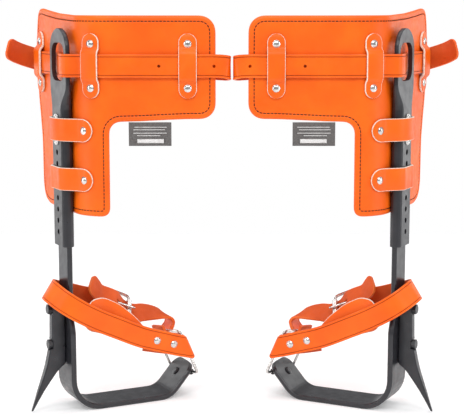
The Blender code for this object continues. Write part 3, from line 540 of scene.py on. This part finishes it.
def raw_edge():
    """The pale cut edge of leather, with loose fibres."""
    look = Look("raw_leather_edge", 0.85)
    look.paint(620.0, [(0.3, (0.62, 0.44, 0.33)), (0.5, (0.84, 0.72, 0.62)), (0.75, (0.95, 0.88, 0.8))])
    look.set("Normal", look.bump(look.noise(1600.0), 0.5, 0.0004))
    return look.material


def thread():
    look = Look("dark_thread", 0.7)
    look.paint(500.0, [(0.3, (0.012, 0.004, 0.003)), (0.7, (0.04, 0.012, 0.006))])
    look.set("Normal", look.bump(look.weave(900.0, "DIAGONAL"), 0.6, 0.0003))
    return look.material


def powder_coat():
    """Satin black powder coat: fine orange peel, dust, and paler rubbed edges."""
    look = Look("black_powder_coat")
    look.shader.inputs["Specular IOR Level"].default_value = 0.6
    rounded, mask = look.edges(0.0009)
    base = look.ramp(look.noise(60.0), [(0.35, (0.009, 0.009, 0.012)), (0.7, (0.016, 0.016, 0.021))])
    worn = look.math("MULTIPLY", mask, look.between(look.noise(240.0), 0.15, 0.6))
    look.set("Base Color", look.mix(worn, base, (0.07, 0.07, 0.085)))
    look.set("Roughness", look.between(look.noise(110.0, 6.0), 0.27, 0.42))
    look.set("Normal", look.bump(look.noise(1400.0, 2.0), 0.1, 0.0003, rounded))
    return look.material


def nickel():
    """Nickel plate with fine scratches and dulled patches."""
    look = Look("nickel_plate", metallic=1.0)
    rounded, _ = look.edges(0.0004)
    look.paint(150.0, [(0.3, (0.5, 0.48, 0.46)), (0.7, (0.8, 0.79, 0.77))])
    look.set("Roughness", look.between(look.noise(500.0, 6.0), 0.14, 0.32))
    look.set("Normal", look.bump(look.noise(2200.0), 0.06, 0.0002, rounded))
    return look.material


def tag_cloth():
    """Dark woven tape."""
    look = Look("tag_cloth", 0.85)
    look.shader.inputs["Sheen Weight"].default_value = 0.25
    look.paint(900.0, [(0.3, (0.09, 0.082, 0.08)), (0.7, (0.15, 0.14, 0.135))])
    threads = look.math("MULTIPLY", look.weave(420.0, "Z"), look.weave(420.0, "X"))
    look.set("Normal", look.bump(threads, 0.5, 0.0004))
    return look.material


def tag_print():
    look = Look("pale_print", 0.7)
    look.paint(1500.0, [(0.3, (0.55, 0.53, 0.52)), (0.7, (0.82, 0.8, 0.79))])
    return look.material


def studio_floor():
    """White paper, with a weak glow that keeps it white out of the shadows."""
    look = Look("studio_floor", 0.9)
    look.paint(3.0, [(0.3, (0.86, 0.86, 0.86)), (0.7, (0.88, 0.88, 0.88))])
    look.shader.inputs["Emission Color"].default_value = (1.0, 1.0, 1.0, 1.0)
    look.shader.inputs["Emission Strength"].default_value = 0.2
    return look.material


ORANGE = leather("orange_leather_front", [(0.84, 0.108, 0.0), (0.89, 0.125, 0.001), (0.92, 0.145, 0.002)])
ORANGE_EDGE = leather("orange_painted_edge", [(0.7, 0.09, 0.01), (0.8, 0.13, 0.015), (0.9, 0.2, 0.04)])
ORANGE_GROOVE = leather("orange_groove", [(0.42, 0.045, 0.003), (0.5, 0.06, 0.004), (0.56, 0.075, 0.006)])
# Back (flesh) side of the bands: the rougher finish and coarser grain are the real flesh side; the darker
# tone is painted shade on the inner faces.
BACK_SHADED_TONES = [(0.52, 0.065, 0.006), (0.6, 0.08, 0.008), (0.68, 0.1, 0.012)]
ORANGE_BACK_SHADED = leather("orange_flesh_side_painted_shade", BACK_SHADED_TONES, (0.55, 0.75), 0.35)
RAW_EDGE = raw_edge()
STRAP_LOOK = [ORANGE, ORANGE_EDGE, ORANGE_GROOVE, ORANGE_BACK_SHADED]
RAW_LOOK = [ORANGE, RAW_EDGE, ORANGE_GROOVE, ORANGE_BACK_SHADED]
THREAD = thread()
BLACK_STEEL = powder_coat()
NICKEL = nickel()


# ---------------------------------------------------------------- calf pad


def corner_drop(distance, radius):
    """How far a round corner lies from the edge it leaves, at a distance past the corner's start."""
    return radius - math.sqrt(max(radius**2 - distance**2, 0.0))


def pad_top(along):
    """The height of the pad's upper edge."""
    corner = PAD_FREE_END - UPPER_CORNER
    if along > corner:
        return PAD_UPPER_EDGE - corner_drop(along - corner, UPPER_CORNER)
    knots = [(0.0, 415.0), (2.5, 432.0), (6.0, 444.0), (11.0, 449.0), (20.0, 449.3), (40.0, 447.0)]
    knots += [(74.0, 444.0), (120.0, 442.2), (200.0, PAD_UPPER_EDGE), (corner, PAD_UPPER_EDGE)]
    return float(np.interp(along, *zip(*knots)))


def pad_bottom(along):
    """The height of the pad's lower edge, which steps up at the notch."""
    if along > PAD_NOTCH + 0.02:
        start, end = PAD_NOTCH + NOTCH_CORNER, PAD_FREE_END - LOWER_CORNER
        level = 328.5 + 3.0 * ease(along, start, 262.0)
        if along < start:
            return level - corner_drop(start - along, NOTCH_CORNER)
        if along > end:
            return level + corner_drop(along - end, LOWER_CORNER)
        return level
    if along > PAD_NOTCH - FOOT_CORNER:
        return PAD_LOWER_EDGE + corner_drop(along - PAD_NOTCH + FOOT_CORNER, FOOT_CORNER)
    knots = [(0.0, 372.0), (4.0, 346.0), (9.0, 322.0), (13.0, 300.0), (14.0, 250.0), (17.0, 238.0)]
    knots += [(23.0, 230.0), (34.0, 225.5), (46.0, PAD_LOWER_EDGE), (159.0, PAD_LOWER_EDGE)]
    return float(np.interp(along, *zip(*knots)))


def pad_outline():
    """The pad's outline (along, height), evenly spaced, anticlockwise."""
    stations = [0.0, 1.2, 2.5, 4.0, 6.0, 9.0, 11.0, 13.0, 14.0, 17.0, 20.0, 23.0]
    stations += [34.0, 46.0, 74.0, 120.0, 159.0]
    rise = np.sin(np.linspace(0.0, math.pi / 2, 9))
    stations += list(PAD_NOTCH - FOOT_CORNER + FOOT_CORNER * rise)[1:]
    fall = np.cos(np.linspace(0.0, math.pi / 2, 11))
    stations += list(PAD_NOTCH + NOTCH_CORNER - NOTCH_CORNER * fall + 0.04)
    stations += [200.0, 232.0, 250.0, PAD_FREE_END - UPPER_CORNER]
    rise = np.sin(np.linspace(0.0, math.pi / 2, 12))
    stations += list(PAD_FREE_END - LOWER_CORNER + LOWER_CORNER * rise)
    low = [(along, pad_bottom(along)) for along in stations]
    high = [(along, pad_top(along)) for along in stations[::-1]]
    corners = np.array(low + high + low[:1])
    run = lengths_along(corners)
    marks = np.linspace(0.0, run[-1], int(run[-1] / PAD_STEP), endpoint=False)
    outline = np.stack([np.interp(marks, run, corners[:, i]) for i in range(2)], axis=1)
    for _ in range(5):
        outline = (np.roll(outline, 1, axis=0) + 2.0 * outline + np.roll(outline, -1, axis=0)) / 4.0
    return outline


def inset(outline, distance):
    """The outline moved inwards."""
    run = unit(np.roll(outline, -1, axis=0) - np.roll(outline, 1, axis=0))
    return outline + distance * np.stack([-run[:, 1], run[:, 0]], axis=1)


def pad_half_thickness(distance):
    """Half the pad's thickness at a distance from its edge: a round border, then a sewn channel."""
    near = np.clip(1.0 - distance / BORDER_ROUND, 0.0, 1.0)
    border = PAD_THICK / 2 * np.sqrt(1.0 - near**2)
    channel = 1.0 * np.exp(-(((distance - STITCH_INSET) / 0.75) ** 2))
    return border - channel


def pad_wave(along, height):
    """A slight unevenness of the leather between its stitches, in mm."""
    return 0.28 * noise.noise(Vector((along * 0.035, height * 0.035, 3.7)))


def distance_to(points, ring):
    """How far each point is from a dense ring, of which every other point is tried."""
    return np.min(np.linalg.norm(points[:, None, :] - ring[None, ::2, :], axis=2), axis=1)


def pad_face(ring):
    """Evenly spread points and triangles that fill a ring."""
    low, high = ring.min(axis=0), ring.max(axis=0)
    xs = np.arange(low[0] + 1.0, high[0], FACE_PITCH)
    ys = np.arange(low[1] + 1.0, high[1], FACE_PITCH)
    grid = np.array([(x, y) for x in xs for y in ys])
    grid = grid[(distance_to(grid, ring) > PAD_STEP) & inside(grid, ring)]
    points = [Vector(point) for point in np.vstack([ring, grid])]
    count = len(ring)
    loop = [(i, (i + 1) % count) for i in range(count)]
    flat, _, triangles, *_ = geometry.delaunay_2d_cdt(points, loop, [], 1, 1e-6)
    return np.array([tuple(point) for point in flat]), triangles


def pad_solid():
    """Two leather faces that meet in a rounded border, each with a sewn channel."""
    outline = pad_outline()
    depths = [0.0, 0.2, 0.6, 1.1, 1.8, 2.6, 3.6, 4.7, 5.3, 5.7, 6.2, 6.7, 7.1, 7.5]
    rings = [inset(outline, depth) for depth in depths]
    count = len(outline)
    flat, triangles = pad_face(rings[-1])
    crown = np.array([PAD_THICK / 2 - 0.25 + pad_wave(*point) for point in flat])
    edge = pad_half_thickness(depths[-1])
    reach = edge + (crown - edge) * ease(distance_to(flat, rings[-1]), 0.0, CROWN_REACH)
    verts, faces = [], []
    for side in (1.0, -1.0):
        start = sum(len(block) for block in verts)
        for ring, depth in zip(rings, depths):
            out = side * np.full(count, pad_half_thickness(depth))
            verts.append(pad_point(ring[:, 0], out, ring[:, 1]))
        for i in range(len(rings) - 1):
            for j in range(count):
                k = (j + 1) % count
                a, b = start + i * count, start + (i + 1) * count
                faces.append((a + j, a + k, b + k, b + j))
        base = start + len(rings) * count
        verts.append(pad_point(flat[:, 0], side * reach, flat[:, 1]))
        faces += [tuple(base + i for i in triangle) for triangle in triangles]
    return np.vstack(verts), faces, [FRONT] * len(faces)


def inside(points, outline):
    """Which points lie inside a closed outline."""
    ahead = np.roll(outline, -1, axis=0)
    x, y = points[:, :1], points[:, 1:]
    crosses = (outline[:, 1] > y) != (ahead[:, 1] > y)
    slope = (ahead[:, 0] - outline[:, 0]) / (ahead[:, 1] - outline[:, 1] + 1e-12)
    left_of = x < outline[:, 0] + (y - outline[:, 1]) * slope
    return np.sum(crosses & left_of, axis=1) % 2 == 1


def stitch_solid(middle, along, out):
    """One stitch: a short spindle that lies on the leather."""
    across = np.cross(along, out)
    rows = [(-1.6, 0.15, -0.25), (-1.3, 0.44, 0.05), (0.0, 0.55, 0.2)]
    rows += [(1.3, 0.44, 0.05), (1.6, 0.15, -0.25)]
    count = STITCH_SIDES
    angles = np.arange(count) * 2 * math.pi / count
    verts, faces = [], []
    for place, radius, lift in rows:
        around = np.cos(angles)[:, None] * across + np.sin(angles)[:, None] * out
        verts.append(middle + along * place + out * lift + radius * around)
    for i in range(len(rows) - 1):
        for j in range(count):
            k = (j + 1) % count
            faces.append((i * count + j, i * count + k, (i + 1) * count + k, (i + 1) * count + j))
    faces += [tuple(range(count))[::-1], tuple(range((len(rows) - 1) * count, len(rows) * count))]
    return np.vstack(verts), faces, [FRONT] * len(faces)


def pad_stitches():
    line = inset(pad_outline(), STITCH_INSET)
    line = np.vstack([line, line[:1]])
    run = lengths_along(line)
    marks = np.arange(0.0, run[-1] - STITCH_PITCH / 2, STITCH_PITCH)
    reach = float(pad_half_thickness(STITCH_INSET))
    solids = []
    for mark in marks:
        here = [np.interp(mark, run, line[:, i]) for i in range(2)]
        ahead = [np.interp(mark + 0.4, run, line[:, i]) for i in range(2)]
        for side in (1.0, -1.0):
            out = side * (reach + 0.1)
            middle = pad_point(here[0], out, here[1])
            along = unit(pad_point(ahead[0], out, ahead[1]) - middle)
            solids.append(stitch_solid(middle, along, unit(pad_outward(here[0])) * side))
    return joined(solids)


def add_pad():
    for made in pair("calf_pad_leather", pad_solid(), [ORANGE], "upper", ["calf_pad"]):
        soften(made, 75.0)
    pair("pad_stitching", pad_stitches(), [THREAD], "upper")


# ---------------------------------------------------------------- keepers, loops and rivets


def rivet(place, axis):
    """A rivet's cap: a thin flange with a dome on it."""
    profile = [(3.9, -0.2), (4.2, 0.05), (4.2, 0.35), (3.95, 0.6), (3.6, 0.68), (3.35, 0.95)]
    profile += [(2.8, 1.35), (1.9, 1.7), (0.9, 1.86), (0.2, 1.9)]
    return turned(profile, place, axis)


def upright(places):
    """Rows for a band whose width stands up."""
    return [np.concatenate([place, UP]) for place in places]


def keeper_path(along):
    low_gap = PAD_THICK / 2 + GAP + KEEPER_THICK / 2
    high_gap = low_gap + STRAP_THICK + 2 * GAP
    rows = [(-34.6, low_gap), (-24.0, low_gap), (-18.5, low_gap + 0.4), (-14.2, high_gap + 0.2)]
    rows += [(-8.0, high_gap + 0.5), (8.0, high_gap + 0.5)]
    rows += [(14.2, high_gap + 0.2), (18.5, low_gap + 0.4), (24.0, low_gap), (34.6, low_gap)]
    level = unit(pad_point(along + 0.1, 0.0, 0.0) - pad_point(along - 0.1, 0.0, 0.0))
    places = [pad_point(along, out, STRAP_HEIGHT + rise) for rise, out in rows]
    return smooth([np.concatenate([place, level]) for place in places])


def add_keepers():
    """Upright bands that hold the calf strap against the pad, with a rivet at each end."""
    out = PAD_THICK / 2 + GAP + KEEPER_THICK
    for letter, along in KEEPER_PLACES.items():
        solid = band(keeper_path(along), KEEPER_WIDTH, KEEPER_THICK, rounded=True, outer=-1)
        name, node = f"keeper_{letter}_leather", f"strap_keeper_{letter}"
        pair(name, solid, RAW_LOOK, "upper", [node])
        caps = [
            rivet(pad_point(along, out, STRAP_HEIGHT + rise), pad_outward(along))
            for rise in (-KEEPER_RIVET, KEEPER_RIVET)
        ]
        pair(f"keeper_{letter}_rivets", joined(caps), [NICKEL], "upper")


def loop_path(height, bow):
    """Plan path of a band that ties the sleeve to the pad; bow lifts it over the screw heads."""
    lift = PAD_THICK / 2 + 2 * GAP + KEEPER_THICK / 2
    front = -SLEEVE_HALF_X - 2 * GAP - KEEPER_THICK / 2
    rows = [pad_point(along, lift, height) for along in (52.0, 60.0, 67.0, 74.0)]
    rows += [vec(3.4, 24.6, height), vec(-3.4, 20.2, height), vec(front, 14.0, height)]
    rows += [vec(front - bow * 0.75, 7.0, height), vec(front - bow, 0.0, height)]
    rows += [vec(front - bow * 0.75, -7.0, height), vec(front, -14.0, height)]
    rows += [vec(-4.4, -20.3, height), vec(1.8, -26.0, height)]
    rows += [pad_point(along, lift, height) for along in (134.0, 139.0, 144.0, 149.8)]
    return smooth(upright(rows))


def add_loops():
    out = PAD_THICK / 2 + 2 * GAP + KEEPER_THICK
    for name, (height, bow) in LOOPS.items():
        solid = band(loop_path(height, bow), LOOP_WIDTH, KEEPER_THICK, rounded=True)
        node = f"shank_loop_{name}"
        pair(f"{node}_leather", solid, RAW_LOOK, "upper", [node])
        caps = [rivet(pad_point(along, out, height), pad_outward(along)) for along in LOOP_RIVETS]
        pair(f"{node}_rivets", joined(caps), [NICKEL], "upper")


# ---------------------------------------------------------------- tag


def add_tag():
    """A plain cloth tag that hangs from the seam, with pale bars where a maker's print would be."""
    sways = ((188.0, 0.0), (200.0, 0.5), (212.0, 0.2), (224.0, -0.4), (234.0, 0.1))
    places = [pad_point(along, sway, TAG_HEIGHT) for along, sway in sways]
    solid = band(smooth(upright(places)), TAG_WIDTH, TAG_THICK)
    cloths = pair("pad_tag_cloth", solid, [tag_cloth()] * 4, "upper", ["pad_tag"])
    bars = []
    for low, high, start, end in (
        (305.6, 310.0, 197.0, 226.0),
        (313.2, 313.9, 197.0, 222.0),
        (316.0, 316.7, 193.0, 229.0),
        (319.6, 320.3, 193.0, 227.0),
        (322.4, 323.1, 194.0, 229.0),
    ):
        middle = (low + high) / 2
        places = [pad_point(along, TAG_THICK, middle) for along in np.linspace(start, end, 7)]
        bars.append(band(upright(places), high - low, 0.12))
    pair("pad_tag_bars", joined(bars), [tag_print()] * 4, "upper")


# ---------------------------------------------------------------- buckled straps


class Buckle:
    """A roller buckle's places: along runs from the heel bar to the roller, out is its face."""

    def __init__(self, heel, along, across):
        self.heel = heel
        self.along = unit(along)
        self.out = unit(np.cross(self.along, across))
        self.across = np.cross(self.out, self.along)

    def point(self, along, out, across=0.0):
        return self.heel + self.along * along + self.out * out + self.across * across

    def slot(self, outline, half_width):
        """A cutter through a strap, drawn in the buckle's side view."""
        outline = np.array(outline, dtype=float)
        return prism(outline, self.heel, self.along, self.out, self.across, -half_width, half_width)

    def heel_notch(self):
        """Clears the chape round the prong's hook."""
        return self.slot([(-7.5, -7.0), (7.0, -7.0), (7.0, 5.5), (-7.5, 5.5)], 2.6)

    def prong_hole(self):
        """Clears the long hole in the strap in which the prong lifts."""
        return self.slot([(3.0, 1.4), (22.0, 1.4), (22.0, 12.5), (8.0, 9.6), (1.0, 5.6)], 2.0)

    def chape(self):
        """Middle line of the fold round the heel bar, from its free end to the strap side."""
        lift = BUCKLE_WIRE + GAP + STRAP_THICK / 2
        angles = np.radians(np.linspace(90.0, -90.0, 7))
        fold = [self.point(lift * math.cos(a), lift * math.sin(a)) for a in angles]
        return [self.point(-15.0, lift), self.point(-7.0, lift), *fold]

    def threaded(self):
        """Middle line of the strap through the buckle, from the roller side to over the heel."""
        under = -(ROLLER_RADIUS + GAP + STRAP_THICK / 2 + 0.1)
        over = BUCKLE_WIRE + 2 * (GAP + STRAP_THICK) - STRAP_THICK / 2 + 0.4
        rows = [(34.0, under), (BUCKLE_LENGTH, under), (20.5, -4.0), (15.0, -0.6)]
        rows += [(10.0, 3.2), (5.0, 6.3), (0.0, over), (-8.0, over), (-15.0, over)]
        return [self.point(a, n) for a, n in rows]


def calf_buckle():
    along = from_plan(STAND_X + 0.95, -0.31, 0.0)
    return Buckle(from_plan(-211.0, 103.0, STRAP_HEIGHT), along, vec(0, 0, -1))


def foot_buckle():
    """The foot buckle, which leans back about its own length."""
    lean, upright = math.sin(FOOT_BUCKLE_LEAN), math.cos(FOOT_BUCKLE_LEAN)
    across = vec(0.415 * upright, lean, 0.91 * upright)
    return Buckle(vec(59.0, 15.0, 114.5), vec(0.91, 0.0, -0.415), across)


def calf_strap_path():
    """From the chape on the buckle, round the pad and the leg, and through the buckle to the tip."""
    buckle = calf_buckle()
    z = STRAP_HEIGHT
    lift = PAD_THICK / 2 + 2 * GAP + STRAP_THICK / 2
    rows = buckle.chape()
    rows += [buckle.point(-7.0, -3.7), vec(13.0, 107.6, z), vec(6.8, 107.0, z)]
    rows += [pad_point(along, lift, z) for along in (0.0, 9.0, 30.0, 58.0, 76.0)]
    rows += [vec(3.9, 19.0, z), vec(1.6, 9.0, z), vec(-1.5, 0.0, z), vec(-4.6, -9.0, z)]
    rows += [vec(-6.7, -19.0, z), vec(-5.6, -27.0, z)]
    rows += [pad_point(along, lift, z) for along in (136.0, 144.0, 154.0, 166.0, 190.0, 230.0, 262.0)]
    loop = ((-17.0, -37.8, 0.0), (-8.5, -37.0, -0.5), (-4.0, -34.0, -1.5), (-2.8, -29.5, -2.5))
    loop += ((-5.0, -25.0, -3.5), (-12.0, -20.0, -3.5), (-30.0, -8.0, -3.0), (-55.0, 15.0, -2.0))
    loop += ((-80.0, 45.0, -1.0), (-110.0, 68.0, -0.5), (-140.0, 78.0, 0.0))
    rows += [from_plan(x, y, z + drop) for x, y, drop in loop]
    rows += buckle.threaded()
    rows += [vec(9.0, 121.0, z + 3.0), vec(-3.0, 117.5, z + 6.5)]
    rows += [vec(-15.0, 111.0, z + 10.5), vec(-28.0, 103.0, z + 16.5)]
    return smooth(rows)


def strap_holes():
    """Cutters for the round holes punched in the calf strap where it lies on the pad's front."""
    straight = PAD_BEND_START + PAD_BEND_LENGTH
    start_x = to_world(pad_point(straight, 0.0, 0.0))[0] / MM
    cutters = []
    for world_x in STRAP_HOLES:
        along = straight + world_x - start_x
        place = pad_point(along, PAD_THICK / 2, STRAP_HEIGHT)
        cutters.append(turned([(1.7, 0.2), (1.7, 8.0)], place, pad_outward(along), 16))
    return [(verts, faces, [GROOVE] * len(faces)) for verts, faces, _ in cutters]


def add_calf_strap():
    path = calf_strap_path()
    across = bisected_across(path, UP)
    solid = band(np.hstack([path, across]), STRAP_WIDTH, STRAP_THICK, grooved=True, tip=7.0)
    buckle = calf_buckle()
    cuts = [buckle.heel_notch(), buckle.prong_hole(), *strap_holes()]
    pair("calf_strap_leather", solid, STRAP_LOOK, "upper", ["calf_strap"], cuts)


def bisected_across(path, across):
    """Directions across a path, square to it and as near as can be to the given one."""
    tangent = bisected(path)
    face = unit(np.cross(tangent, np.broadcast_to(across, path.shape)))
    return unit(np.cross(face, tangent))


def ring_frame():
    """The ring's hinge point, its hinge direction and its own up direction."""
    angle = UPTURN_ANGLE
    along = vec(math.cos(angle), 0.0, math.sin(angle))
    out = vec(math.sin(angle), 0.0, -math.cos(angle))
    start_x = TREAD_END + UPTURN_RADIUS * math.sin(angle)
    start_z = BAR_THICK / 2 + UPTURN_RADIUS * (1.0 - math.cos(angle))
    side = vec(0, 1, 0) * math.cos(CLIP_TURN) - along * math.sin(CLIP_TURN)
    face = vec(start_x, 0.0, start_z) + along * RIVET_ALONG + out * (BAR_THICK / 2 + GAP)
    hinge = face + out * 3.9 + along * 6.4
    lean = vec(-0.363, 0.0, 0.932)
    return hinge, side, unit(lean - side * np.dot(lean, side))


def ring_point(across, height):
    """A point on the ring's plane: across its hinge, and up from it."""
    hinge, side, up = ring_frame()
    return hinge + side * across + up * height


def foot_strap_path():
    """The foot strap: folded round the ring, led round the shank, folded round the buckle's heel."""
    _, _, up = ring_frame()
    lift = RING_WIRE + GAP + STRAP_THICK / 2
    heading = vec(0.966, 0.0, -0.259)
    skew = np.linalg.norm(np.cross(heading, up))
    centre = ring_point(-RING_HALF_WIDTH, 35.3)
    angles = np.radians(np.linspace(90.0, -90.0, 9))
    fold = [centre + heading * lift / skew * math.cos(a) + vec(0, lift * math.sin(a), 0) for a in angles]
    square = vec(0.27, 0, 0.96)
    rows = [(vec(88.0, -20.4, 73.2), square), (vec(106.0, -20.3, 68.8), square)]
    rows += [(fold[0] - heading * 10.0, up * 0.6 + square * 0.4), (fold[0] - heading * 1.5, up)]
    rows += [(point, up) for point in fold]
    rows += [
        (fold[-1] - heading * 1.5, up),
        (fold[-1] - heading * 10.0, up * 0.5 + square * 0.5),
        (vec(106.0, -27.1, 71.3), square),
        (vec(85.0, -27.2, 78.1), vec(0.36, 0, 0.93)),
        (vec(52.7, -27.4, 92.8), vec(0.41, 0, 0.91)),
        (vec(24.4, -28.0, 106.7), vec(0.44, 0, 0.9)),
        (vec(3.0, -27.0, 119.3), vec(0.5, 0, 0.87)),
        (vec(-10.5, -22.0, 129.0), vec(0.55, 0, 0.83)),
        (vec(-17.2, -10.0, 135.5), vec(0.58, 0, 0.81)),
        (vec(-18.4, 2.0, 138.0), vec(0.58, 0, 0.81)),
        (vec(-14.5, 13.0, 136.5), vec(0.52, 0, 0.85)),
        (vec(-5.0, 20.0, 132.5), vec(0.42, 0, 0.91)),
        (vec(11.0, 21.4, 127.4), vec(0.35, 0, 0.94)),
        (vec(28.0, 19.8, 122.2), vec(0.36, 0.12, 0.93)),
        (vec(44.0, 19.4, 118.2), vec(0.34, 0.42, 0.84)),
    ]
    rows += [(point, foot_buckle().across) for point in foot_buckle().chape()[::-1]]
    return smooth([np.concatenate(row) for row in rows], 1.2)


def add_foot_strap():
    solid = band(foot_strap_path(), STRAP_WIDTH, STRAP_THICK, grooved=True, outer=-1)
    cuts = [foot_buckle().heel_notch()]
    bends = (vec(122.0, -24.0, 67.0), vec(136.8, -23.5, 62.5))
    name = "foot_strap_leather"
    pair(name, solid, STRAP_LOOK, None, ["foot_strap"], cuts, bends)


def add_foot_rivets():
    front = FOOT_STRAP_FRONT_Y - STRAP_THICK / 2
    back = FOOT_STRAP_BACK_Y + STRAP_THICK / 2
    for number, (x, z) in enumerate(FOOT_RIVETS, 1):
        caps = [rivet(vec(x, front, z), vec(0, -1, 0)), rivet(vec(x, back, z), vec(0, 1, 0))]
        node = f"foot_rivet_{number}"
        pair(f"{node}_caps", joined(caps), [NICKEL], "base", [node])


def foot_billet_path():
    """The billet: folded round the ring's top bar, twisted, and threaded through the foot buckle."""
    _, side, up = ring_frame()
    lift = RING_WIRE + GAP + STRAP_THICK / 2
    front = unit(np.cross(side, up))
    buckle = foot_buckle()
    fold = arc(ring_point(10.0, RING_HEIGHT), front, up, lift, -math.pi, math.radians(-55.0), 6)
    away = unit(vec(0.55, 0.02, 0.83))
    rows = [(fold[0] + up * 8.0, side), (fold[0] + up * 1.5, side)]
    rows += [(point, side) for point in fold]
    rows += [(fold[-1] + away * 1.5, side), (fold[-1] + away * 7.0, vec(-0.1, 0.99, -0.1))]
    rows += [
        (vec(134.6, 15.8, 80.5), vec(0.0, 1.0, -0.05)),
        (vec(135.4, 16.2, 85.0), vec(0.0, 1.0, 0.0)),
        (vec(132.0, 17.0, 89.6), vec(0.0, 1.0, 0.0)),
        (vec(125.5, 17.8, 92.8), vec(0.1, 0.97, 0.2)),
        (vec(115.0, 18.4, 95.0), vec(0.22, 0.88, 0.42)),
        (vec(103.0, 18.8, 96.4), vec(0.28, 0.76, 0.58)),
    ]
    rows += [(point, buckle.across) for point in buckle.threaded()]
    leaning = vec(0.5, 0.62, 0.6)
    rows += [(vec(39.5, 7.5, 133.0), leaning), (vec(33.0, 6.5, 142.0), leaning)]
    return smooth([np.concatenate(row) for row in rows], 1.2)


def add_foot_billet():
    solid = band(foot_billet_path(), STRAP_WIDTH, STRAP_THICK, grooved=True, tip=7.0)
    cuts = [foot_buckle().prong_hole()]
    bends = (vec(100.0, 20.0, 102.0), vec(126.0, 13.0, 74.0))
    name = "foot_billet_leather"
    pair(name, solid, STRAP_LOOK, None, ["foot_billet"], cuts, bends)


def add_foot_shield():
    """A leaf of leather behind the foot strap that keeps the buckle off the boot."""
    rows = []
    for x, y, z, half in (
        (16.6, -22.8, 111.8, 9.0),
        (17.6, -22.7, 111.6, 12.5),
        (20.5, -22.3, 111.0, 16.2),
        (26.0, -20.5, 109.6, 18.8),
        (33.4, -18.5, 108.0, 20.0),
        (42.0, -18.0, 104.9, 19.6),
        (52.5, -18.2, 101.0, 17.8),
        (63.0, -19.0, 95.8, 14.9),
        (74.3, -20.0, 90.0, 10.9),
        (84.0, -21.0, 84.6, 6.0),
        (88.0, -21.4, 82.4, 3.6),
    ):
        rows.append(np.array([x, y, z, 0.25, 0.0, 0.97, half]))
    solid = band(smooth(rows, 1.0), STRAP_WIDTH, 2.0)
    pair("foot_shield_leather", solid, RAW_LOOK, "base", ["foot_shield"])


# ---------------------------------------------------------------- steel, camera and light


def dress_cad_nodes():
    """Gives the steel CAD nodes that stay in view their finish."""
    looks = {"black_steel": BLACK_STEEL, "bright_steel": NICKEL}
    for row in frame["record"]["subparts"]:
        look = looks.get(row["material_slot"])
        if look:
            node = frame["nodes"][row["node"]]
            node.data.materials.clear()
            node.data.materials.append(look)


def add_floor():
    mesh = bpy.data.meshes.new("floor")
    reach = 1.15
    corners = [(-reach, -reach, 0.0), (reach, -reach, 0.0), (reach, reach, 0.0), (-reach, reach, 0.0)]
    mesh.from_pydata(corners, [], [(0, 1, 2, 3)])
    make_object("floor", mesh, [studio_floor()])


def add_camera():
    camera = bpy.data.objects.new("camera", bpy.data.cameras.new("camera"))
    camera.data.lens = 104.2
    camera.data.sensor_width = 36.0
    camera.location = (0.0, -1.5148, 0.4503)
    camera.rotation_euler = (math.radians(81.51), 0.0, 0.0)
    bpy.context.scene.collection.objects.link(camera)
    bpy.context.scene.camera = camera


def add_light(name, place, size, energy, target=(0.0, 0.0, 0.22)):
    lamp = bpy.data.lights.new(name, "AREA")
    lamp.shape = "RECTANGLE"
    lamp.size, lamp.size_y = size
    lamp.energy = energy
    made = bpy.data.objects.new(name, lamp)
    made.location = place
    direction = Vector(target) - Vector(place)
    made.rotation_euler = direction.to_track_quat("-Z", "Y").to_euler()
    bpy.context.scene.collection.objects.link(made)


def add_studio():
    world = bpy.data.worlds.new("studio")
    world.use_nodes = True
    nodes, links = world.node_tree.nodes, world.node_tree.links
    seen = nodes["Background"]
    seen.inputs["Color"].default_value = (1.0, 1.0, 1.0, 1.0)
    lighting = nodes.new("ShaderNodeBackground")
    lighting.inputs["Color"].default_value = (0.97, 0.98, 1.0, 1.0)
    lighting.inputs["Strength"].default_value = 0.42
    switch = nodes.new("ShaderNodeMixShader")
    links.new(nodes.new("ShaderNodeLightPath").outputs["Is Camera Ray"], switch.inputs["Fac"])
    links.new(lighting.outputs["Background"], switch.inputs[1])
    links.new(seen.outputs["Background"], switch.inputs[2])
    links.new(switch.outputs["Shader"], nodes["World Output"].inputs["Surface"])
    bpy.context.scene.world = world
    bpy.context.scene.view_settings.view_transform = "Standard"
    add_light("key", (-0.8, -1.9, 1.9), (1.2, 0.9), 22.0)
    add_light("fill", (0.8, -1.9, 1.9), (1.2, 0.9), 18.0)
    add_light("top", (0.0, 0.2, 1.9), (2.2, 1.4), 17.0)
    for name, side in (("left", -1.0), ("right", 1.0)):
        add_light(f"{name}_strip", (side * 1.55, -0.5, 0.55), (0.22, 1.2), 5.0)
        add_light(f"{name}_rim", (side * 1.4, 1.0, 0.55), (0.8, 1.2), 5.0)


add_camera()
add_studio()
add_floor()
dress_cad_nodes()
add_pad()
add_keepers()
add_loops()
add_tag()
add_calf_strap()
add_foot_strap()
add_foot_rivets()
add_foot_billet()
add_foot_shield()
